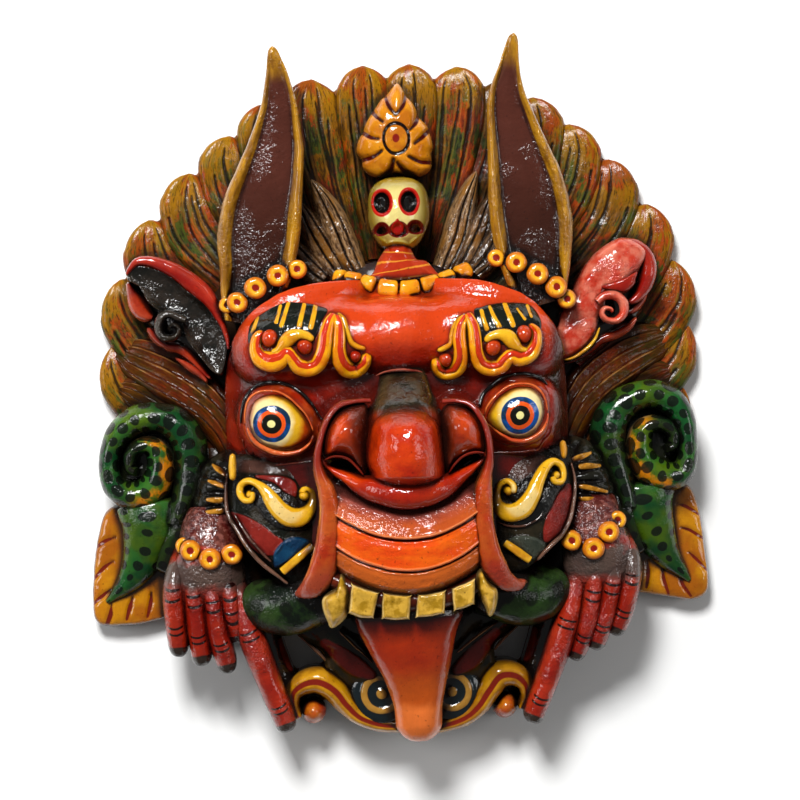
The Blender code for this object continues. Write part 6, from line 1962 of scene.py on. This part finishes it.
def handColour():
    # Red fingers, a grey band of painted sheen on the gritty lacquer over the knuckles, painted shade down
    # the finger sides, and a dark pink cuff, all run together
    at = plus(times(objectAxis("Y"), 1.0 / unit), waver(80.0, 14.0))
    colour = mottled(50.0, (126, 18, 6), (160, 38, 14))
    # Grey band over the knuckles: painted sheen over the red
    colour = blend(times(fall(at, -82.0, -78.0), ramp(at, -101.0, -91.0)), colour, (60, 58, 53), 0.92)
    gritty = ramp(noise(330.0, 3.0), 0.45, 0.62)
    colour = blend(ramp(at, -77.0, -74.0), colour, blend(gritty, (70, 16, 12), (116, 62, 54)))
    knuckle, tip = readMark("knuckle"), readMark("fromTip")
    across = calc("ABSOLUTE", readMark("across"))
    onTop = fall(across, 0.58, 0.72)
    bow = times(calc("POWER", across, 2.0), 1.6)
    for value, places in ((plus(knuckle, bow), (0.0, 3.4)), (minus(tip, bow), (15.0, 12.2))):
        for spot in places:
            line = fall(apart(value, spot), 0.35, 0.7)
            colour = blend(times(line, onTop), colour, (26, 4, 3))
    # Painted shade down the sides of the fingers
    side = times(ramp(across, 0.8, 0.98), fall(tip, 80.0, 90.0))
    colour = blend(side, colour, (52, 6, 5), 0.8)
    return blend(fall(plus(tip, bow), 6.4, 7.2), colour, (26, 16, 14))


def spiralColour():
    reach = readMark("reach")
    disc = cloudy(90.0, (12, 16, 14), (18, 32, 38))
    gold = cloudy(200.0, (150, 100, 28), (178, 134, 56))
    ring = apart(reach, 0.56)
    return blend(calc("MAXIMUM", fall(ring, 0.09, 0.12), fall(reach, 0.15, 0.18)), disc, gold)


def jawCurlColour():
    across = calc("ABSOLUTE", readMark("across"))
    gold = mottled(70.0, (150, 94, 3), (188, 132, 10))
    return blend(fall(across, 0.19, 0.26), gold, (118, 24, 5))


def jawColour():
    dark = mottled(60.0, (16, 16, 8), (40, 30, 14), 0.4, 0.6)
    red = cloudy(90.0, (64, 10, 8), (98, 22, 16))
    return blend(fall(readMark("stroke"), -0.6, 0.6), dark, red)


def moustacheColour():
    across = calc("ABSOLUTE", readMark("across"))
    gold = cloudy(90.0, (206, 146, 8), (226, 174, 30))
    cream = cloudy(140.0, (232, 204, 132), (206, 170, 90))
    return blend(times(fall(across, 0.5, 0.62), readMark("broad")), gold, cream)


def cheekColour(leaf):
    def colour():
        dark = mottled(60.0, (15, 18, 12), (38, 32, 20), 0.38, 0.6)
        brown = cloudy(140.0, (52, 28, 22), (86, 58, 48))
        out = blend(fall(readMark("brown"), -1.0, 1.0), dark, brown)
        red = mottled(70.0, (94, 14, 10), (128, 34, 26))
        out = blend(fall(readMark("red"), -0.5, 0.3), out, red)
        return blend(fall(readMark("leaf"), -0.3, 0.2), out, mottled(60.0, leaf[0], leaf[1]))
    return colour


def bareWood():
    grown = {"Vector": objectPlace((1.0, 0.07, 1.0)), "Scale": 60.0, "Distortion": 5.0, "Detail": 4.0,
             "Detail Scale": 2.0}
    rings = node("ShaderNodeTexWave", grown, wave_type="BANDS", bands_direction="X")
    colour = blend(rings.outputs["Fac"], (132, 84, 46), (96, 56, 28))
    return blend(ramp(noise(14.0), 0.42, 0.7), colour, (60, 36, 20), 0.6)


paints = {
    "feather": dict(colour=featherColour, glazeAndShade=0.45, wearAndHighlight=0.15, patches=0.1, strokes=0.35, flecks=0.3,
                    nibs=0.3, grain=0.2, rough=0.42, coat=0.3, coatRough=0.16),
    "innerLeaf": dict(colour=leafColour, glazeAndShade=0.5, wearAndHighlight=0.4, flecks=0.5, grain=0.14, nibs=1.6),
    "plume": dict(colour=plumeColour, glazeAndShade=0.5, wearAndHighlight=0.3, nibs=0.3, grain=0.16, coat=0.3, coatRough=0.14),
    "horn": dict(colour=hornColour, wearAndHighlight=0.3, grain=0.1, nibs=1.3, peel=0.5),
    "bead": dict(colour=beadColour, glazeAndShade=0.8, wearAndHighlight=0.3, patches=0.12),
    "jewel": dict(colour=jewelColour, glazeAndShade=0.8, wearAndHighlight=0.25, patches=0.12),
    "skull": dict(colour=skullColour, glazeAndShade=0.7, wearAndHighlight=0.1, patches=0.08, flecks=0.2),
    "collar": dict(colour=collarColour, glazeAndShade=0.7, wearAndHighlight=0.4),
    "goldBar": dict(colour=plain((198, 112, 4), (222, 152, 12)), wearAndHighlight=0.3),
    "face": dict(colour=faceColour, glazeAndShade=0.5, wearAndHighlight=0.15, nibs=0.6, peel=0.5),
    "browBand": dict(colour=browBandColour, glazeAndShade=0.7, wearAndHighlight=0.25, patches=0.1),
    "browCrest": dict(colour=plain((198, 120, 6), (220, 164, 26)), glazeAndShade=0.7, wearAndHighlight=0.4, patches=0.1),
    "browBall": dict(colour=plain((150, 26, 5), (186, 58, 12)), glazeAndShade=0.7, wearAndHighlight=0.5),
    "browHair": dict(colour=browHairColour, wearAndHighlight=0.1, patches=0.1, nibs=0.3),
    "eye": dict(colour=eyeColour, glazeAndShade=0.45, wearAndHighlight=0.0, patches=0.08, flecks=0.25),
    "lid": dict(colour=plain((150, 30, 6), (186, 66, 16)), glazeAndShade=0.3, wearAndHighlight=0.2),
    "lidEdge": dict(colour=plain((170, 52, 12), (196, 96, 38)), glazeAndShade=0.5, wearAndHighlight=0.5),
    "blackLine": dict(colour=plain((12, 8, 7), (20, 13, 11)), wearAndHighlight=0.1),
    "foldEdge": dict(colour=plain((96, 24, 18), (140, 66, 52)), glazeAndShade=0.6, wearAndHighlight=0.8),
    "darkRim": dict(colour=plain((44, 24, 18), (88, 56, 44)), glazeAndShade=0.6, wearAndHighlight=0.7),
    "nose": dict(colour=noseColour, glazeAndShade=0.6, wearAndHighlight=0.05, patches=0.12, nibs=0.5, peel=0.6),
    "wing": dict(colour=wingColour, glazeAndShade=0.7, wearAndHighlight=0.2, patches=0.12, nibs=0.9),
    "nostril": dict(colour=plain((8, 5, 4), (14, 7, 5)), wearAndHighlight=0.0),
    "noseRim": dict(colour=plain((96, 6, 3), (120, 18, 8)), glazeAndShade=0.6, wearAndHighlight=0.4),
    "fold": dict(colour=foldColour, glazeAndShade=0.6, wearAndHighlight=0.35, nibs=0.9),
    "muzzle": dict(colour=muzzleColour, glazeAndShade=0.7, wearAndHighlight=0.15, patches=0.14, nibs=1.0, peel=0.6),
    "gum": dict(colour=plain((70, 22, 8), (104, 36, 14)), glazeAndShade=0.4, wearAndHighlight=0.0, nibs=0.2, coat=0.4),
    "tooth": dict(colour=toothColour, glazeAndShade=0.7, wearAndHighlight=0.5, patches=0.1),
    "tongue": dict(colour=tongueColour, glazeAndShade=0.7, wearAndHighlight=0.3),
    "cheekLeft": dict(colour=cheekColour(((5, 36, 66), (16, 62, 92))), glazeAndShade=0.5, wearAndHighlight=0.2, coat=0.5,
                      nibs=1.2),
    "cheekRight": dict(colour=cheekColour(((40, 46, 38), (60, 64, 54))), glazeAndShade=0.5, wearAndHighlight=0.2, coat=0.5,
                       nibs=1.2),
    "moustache": dict(colour=moustacheColour, glazeAndShade=0.7, wearAndHighlight=0.4, patches=0.12),
    "cheekGold": dict(colour=plain((176, 116, 8), (206, 156, 24)), glazeAndShade=0.7, wearAndHighlight=0.5),
    "blackGloss": dict(colour=plain((9, 9, 8), (22, 22, 20)), wearAndHighlight=0.2, coat=0.7, nibs=1.6),
    "darkGround": dict(colour=plain((34, 20, 10), (60, 36, 18)), glazeAndShade=0.35, wearAndHighlight=0.0, coat=0.25, nibs=0.3),
    "earDark": dict(colour=plain((16, 15, 11), (38, 31, 25), 120.0), glazeAndShade=0.6, wearAndHighlight=0.2, nibs=2.3, peel=1.0),
    # Red paint mottled with a pink painted sheen
    "earRedAndSheen": dict(colour=plain((176, 46, 26), (200, 104, 82), 160.0), glazeAndShade=0.45, wearAndHighlight=0.4, nibs=1.6),
    "earRed": dict(colour=plain((132, 14, 6), (156, 32, 12)), glazeAndShade=0.7, wearAndHighlight=0.3),
    "petal": dict(colour=plain((116, 14, 6), (156, 44, 14)), glazeAndShade=0.7, wearAndHighlight=0.7),
    "darkRed": dict(colour=plain((70, 7, 5), (104, 16, 10)), wearAndHighlight=0.3),
    "coil": dict(colour=coilColour, glazeAndShade=0.6, wearAndHighlight=0.1, nibs=0.8, coat=0.75),
    "serpentBody": dict(colour=serpentBodyColour, wearAndHighlight=0.1, nibs=1.0, coat=0.6),
    "fin": dict(colour=finColour, glazeAndShade=0.8, wearAndHighlight=0.3),
    "sleeve": dict(colour=sleeveColour, wearAndHighlight=0.2, coat=0.6),
    "hand": dict(colour=handColour, glazeAndShade=0.4, wearAndHighlight=0.25, nibs=1.9, peel=0.7),
    "jaw": dict(colour=jawColour, glazeAndShade=0.6, wearAndHighlight=0.2, coat=0.6),
    "spiral": dict(colour=spiralColour, glazeAndShade=0.7, wearAndHighlight=0.3),
    "jawCurl": dict(colour=jawCurlColour, glazeAndShade=0.8, wearAndHighlight=0.3),
    "jawBall": dict(colour=plain((160, 44, 8), (176, 96, 12)), wearAndHighlight=0.3),
    "bareWood": dict(colour=bareWood, glazeAndShade=0.2, wearAndHighlight=0.1, rough=0.62, coat=0.0, grain=1.2),
}
finishes = {name: paintedFinish(name + "Paint", **values) for name, values in paints.items()}
print("finishes mixed")


def addPiece(name, mesh, finish):
    obj = bpy.data.objects.new(name, mesh)
    bpy.context.scene.collection.objects.link(obj)
    mesh.materials.append(finishes[finish])
    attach(obj, "root")
    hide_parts("mask")
    return obj


most, total = 0, 0
for name, piece in pieces.items():
    addPiece(name, buildMesh(name, piece["points"], piece["quads"], piece["caps"], piece["marks"]),
             piece["finish"])
    triangles = 2 * len(piece["quads"]) + sum(len(cap) - 2 for cap in piece["caps"])
    most, total = max(most, triangles), total + triangles
print("pieces painted:", len(pieces), "triangles:", total, "most in one:", most)


# Sawn back: the outline of all that reaches the ground, with the hollow scooped out of it

back = {
    "voxel": 1.3, "thickness": 4.0, "drop": 1.6, "hollow": (56.0, 59.0), "hollowCentre": (0.0, -24.0),
    "hollowDepth": 40.0, "corner": 0.8, "sides": 160, "levels": 40, "bowl": 0.55, "skirt": -4.0,
}


def hollowRings(grow, lift, gouges):
    rings = []
    slopes = np.linspace(0.0, math.radians(88.5), back["levels"])
    for level, reach in [(back["skirt"], 1.0)] + [(math.sin(a), math.cos(a) ** back["bowl"]) for a in slopes]:
        angle = np.linspace(0.0, turn, back["sides"], endpoint=False)
        c, s = superCircle(angle, back["corner"])
        z = level * back["hollowDepth"] + lift if level >= 0.0 else level
        x = back["hollowCentre"][0] + (back["hollow"][0] + grow) * reach * c
        y = back["hollowCentre"][1] + (back["hollow"][1] + grow) * reach * s
        rings.append(np.column_stack([x, y, np.full(len(angle), z)]))
    rings = np.array(rings)
    if gouges:
        flat = rings.reshape(-1, 3)
        push = 0.9 * np.abs(valueNoise(flat * (1.0, 0.5, 1.0), 6.0, 41)) + 0.3 * valueNoise(flat, 3.0, 42)
        rings[..., 2] += (push * (flat[:, 2] > 4.0)).reshape(rings.shape[:2])
    return rings


def temporaryObject(name, points, quads, caps):
    obj = bpy.data.objects.new(name, buildMesh(name, points, quads, caps, {}))
    bpy.context.scene.collection.objects.link(obj)
    return obj


def sawnBack():
    grounded = [form for name, forms, finish in carvings
                for form in forms if form["points"][:, 2].min() < 2.0]
    points, quads, caps, marks = joined(grounded)
    points = handCarved(points)
    points[:, 2] -= back["drop"]
    block = temporaryObject("sawnBack", points, quads, caps)
    fuse = block.modifiers.new("fuse", "REMESH")
    fuse.mode = "VOXEL"
    fuse.voxel_size = back["voxel"] * unit
    cutters = []
    for label, z, tall in (("below", -60.0, 120.0), ("above", back["thickness"] + 100.0, 200.0)):
        ring = np.array([(-300.0, -300.0), (300.0, -300.0), (300.0, 300.0), (-300.0, 300.0)])
        rings = np.array([np.column_stack([ring, np.full(4, z - tall / 2.0)]),
                          np.column_stack([ring, np.full(4, z + tall / 2.0)])])
        cutters.append((label, rings))
    cutters.append(("hollow", hollowRings(0.0, 2.0, False)))
    spare = [block]
    for label, rings in cutters:
        form = loft(rings, {})
        tool = temporaryObject(label, form["points"], form["quads"], form["caps"])
        spare.append(tool)
        cut = block.modifiers.new(label, "BOOLEAN")
        cut.operation = "DIFFERENCE"
        cut.solver = "EXACT"
        cut.object = tool
    flat = block.modifiers.new("flatten", "DECIMATE")
    flat.decimate_type = "DISSOLVE"
    flat.angle_limit = math.radians(2.0)
    view = bpy.context.evaluated_depsgraph_get()
    mesh = bpy.data.meshes.new_from_object(block.evaluated_get(view))
    mesh.materials.clear()
    for obj in spare:
        bpy.data.objects.remove(obj, do_unlink=True)
    for key in ("closed", "ridge"):
        mesh.attributes.new(key, "FLOAT", "POINT")
    return mesh


addPiece("sawnBack", sawnBack(), "bareWood")
inner, outer = hollowRings(0.0, 0.0, True)[1:], hollowRings(2.0, 2.4, False)[1:]
shell = loft(np.concatenate([inner[::-1], outer]), {"closed": 0.0, "ridge": 0.0})
addPiece("hollow", buildMesh("hollow", shell["points"], shell["quads"], shell["caps"], shell["marks"]),
         "bareWood")
print("back sawn and hollowed")


# Floor, light and camera

studio = {
    "floorSize": 6.0, "floorColour": (0.93, 0.93, 0.92, 1.0), "keyPlace": (-0.30, 0.92, 1.45),
    "keySize": 0.44, "keyPower": 37.0, "leftPlace": (-1.6, 0.25, 1.15), "leftSize": 0.7, "leftPower": 9.0,
    "rightPlace": (1.6, 0.1, 1.15), "rightSize": 0.7, "rightPower": 6.0, "skyStrength": 0.15,
}


def addFloor():
    half = studio["floorSize"] / 2.0
    mesh = bpy.data.meshes.new("floor")
    drop = cadLow.z - 0.0004
    mesh.from_pydata([(-half, -half, drop), (half, -half, drop), (half, half, drop), (-half, half, drop)], [],
                     [(0, 1, 2, 3)])
    floor = bpy.data.objects.new("floor", mesh)
    bpy.context.scene.collection.objects.link(floor)
    material = bpy.data.materials.new("paleFloor")
    material.use_nodes = True
    shader = material.node_tree.nodes["Principled BSDF"]
    shader.inputs["Base Color"].default_value = studio["floorColour"]
    shader.inputs["Roughness"].default_value = 0.9
    shader.inputs["Specular IOR Level"].default_value = 0.1
    mesh.materials.append(material)


def addLight(name, place, size, power):
    data = bpy.data.lights.new(name, "AREA")
    data.energy = power
    data.size = size
    lamp = bpy.data.objects.new(name, data)
    bpy.context.scene.collection.objects.link(lamp)
    lamp.location = place
    lamp.rotation_euler = (-Vector(place)).to_track_quat("-Z", "Y").to_euler()


addFloor()
for label in ("key", "left", "right"):
    addLight(label, studio[label + "Place"], studio[label + "Size"], studio[label + "Power"])
world = bpy.data.worlds.new("studio")
world.use_nodes = True
world.node_tree.nodes["Background"].inputs["Color"].default_value = white
world.node_tree.nodes["Background"].inputs["Strength"].default_value = studio["skyStrength"]
bpy.context.scene.world = world
bpy.context.scene.view_settings.view_transform = "Standard"

photo = {
    "size": 800, "focal": 2960.0, "distance": 1.5, "yaw": 1.1, "roll": 1.6, "middle": (398.1, 390.0),
    "pixel": 0.0005,                                   # metres across one pixel at the mask
}


def addCamera():
    data = bpy.data.cameras.new("photoCamera")
    data.sensor_width = 36.0
    data.lens = data.sensor_width * photo["focal"] / photo["size"]
    camera = bpy.data.objects.new("photoCamera", data)
    bpy.context.scene.collection.objects.link(camera)
    yaw, roll = math.radians(photo["yaw"]), math.radians(photo["roll"])
    forward = Vector((math.sin(yaw), 0.0, -math.cos(yaw)))
    level = Vector((math.cos(yaw), 0.0, math.sin(yaw)))
    upright = Vector((0.0, 1.0, 0.0))
    right = level * math.cos(roll) - upright * math.sin(roll)
    up = level * math.sin(roll) + upright * math.cos(roll)
    half = photo["size"] / 2.0
    aside, down = ((half - middle) * photo["pixel"] for middle in photo["middle"])
    slide = right * aside - up * down
    frameTurn = Matrix((right, up, -forward)).transposed().to_4x4()
    camera.matrix_world = Matrix.Translation(-forward * photo["distance"] + slide) @ frameTurn
    bpy.context.scene.camera = camera


addCamera()
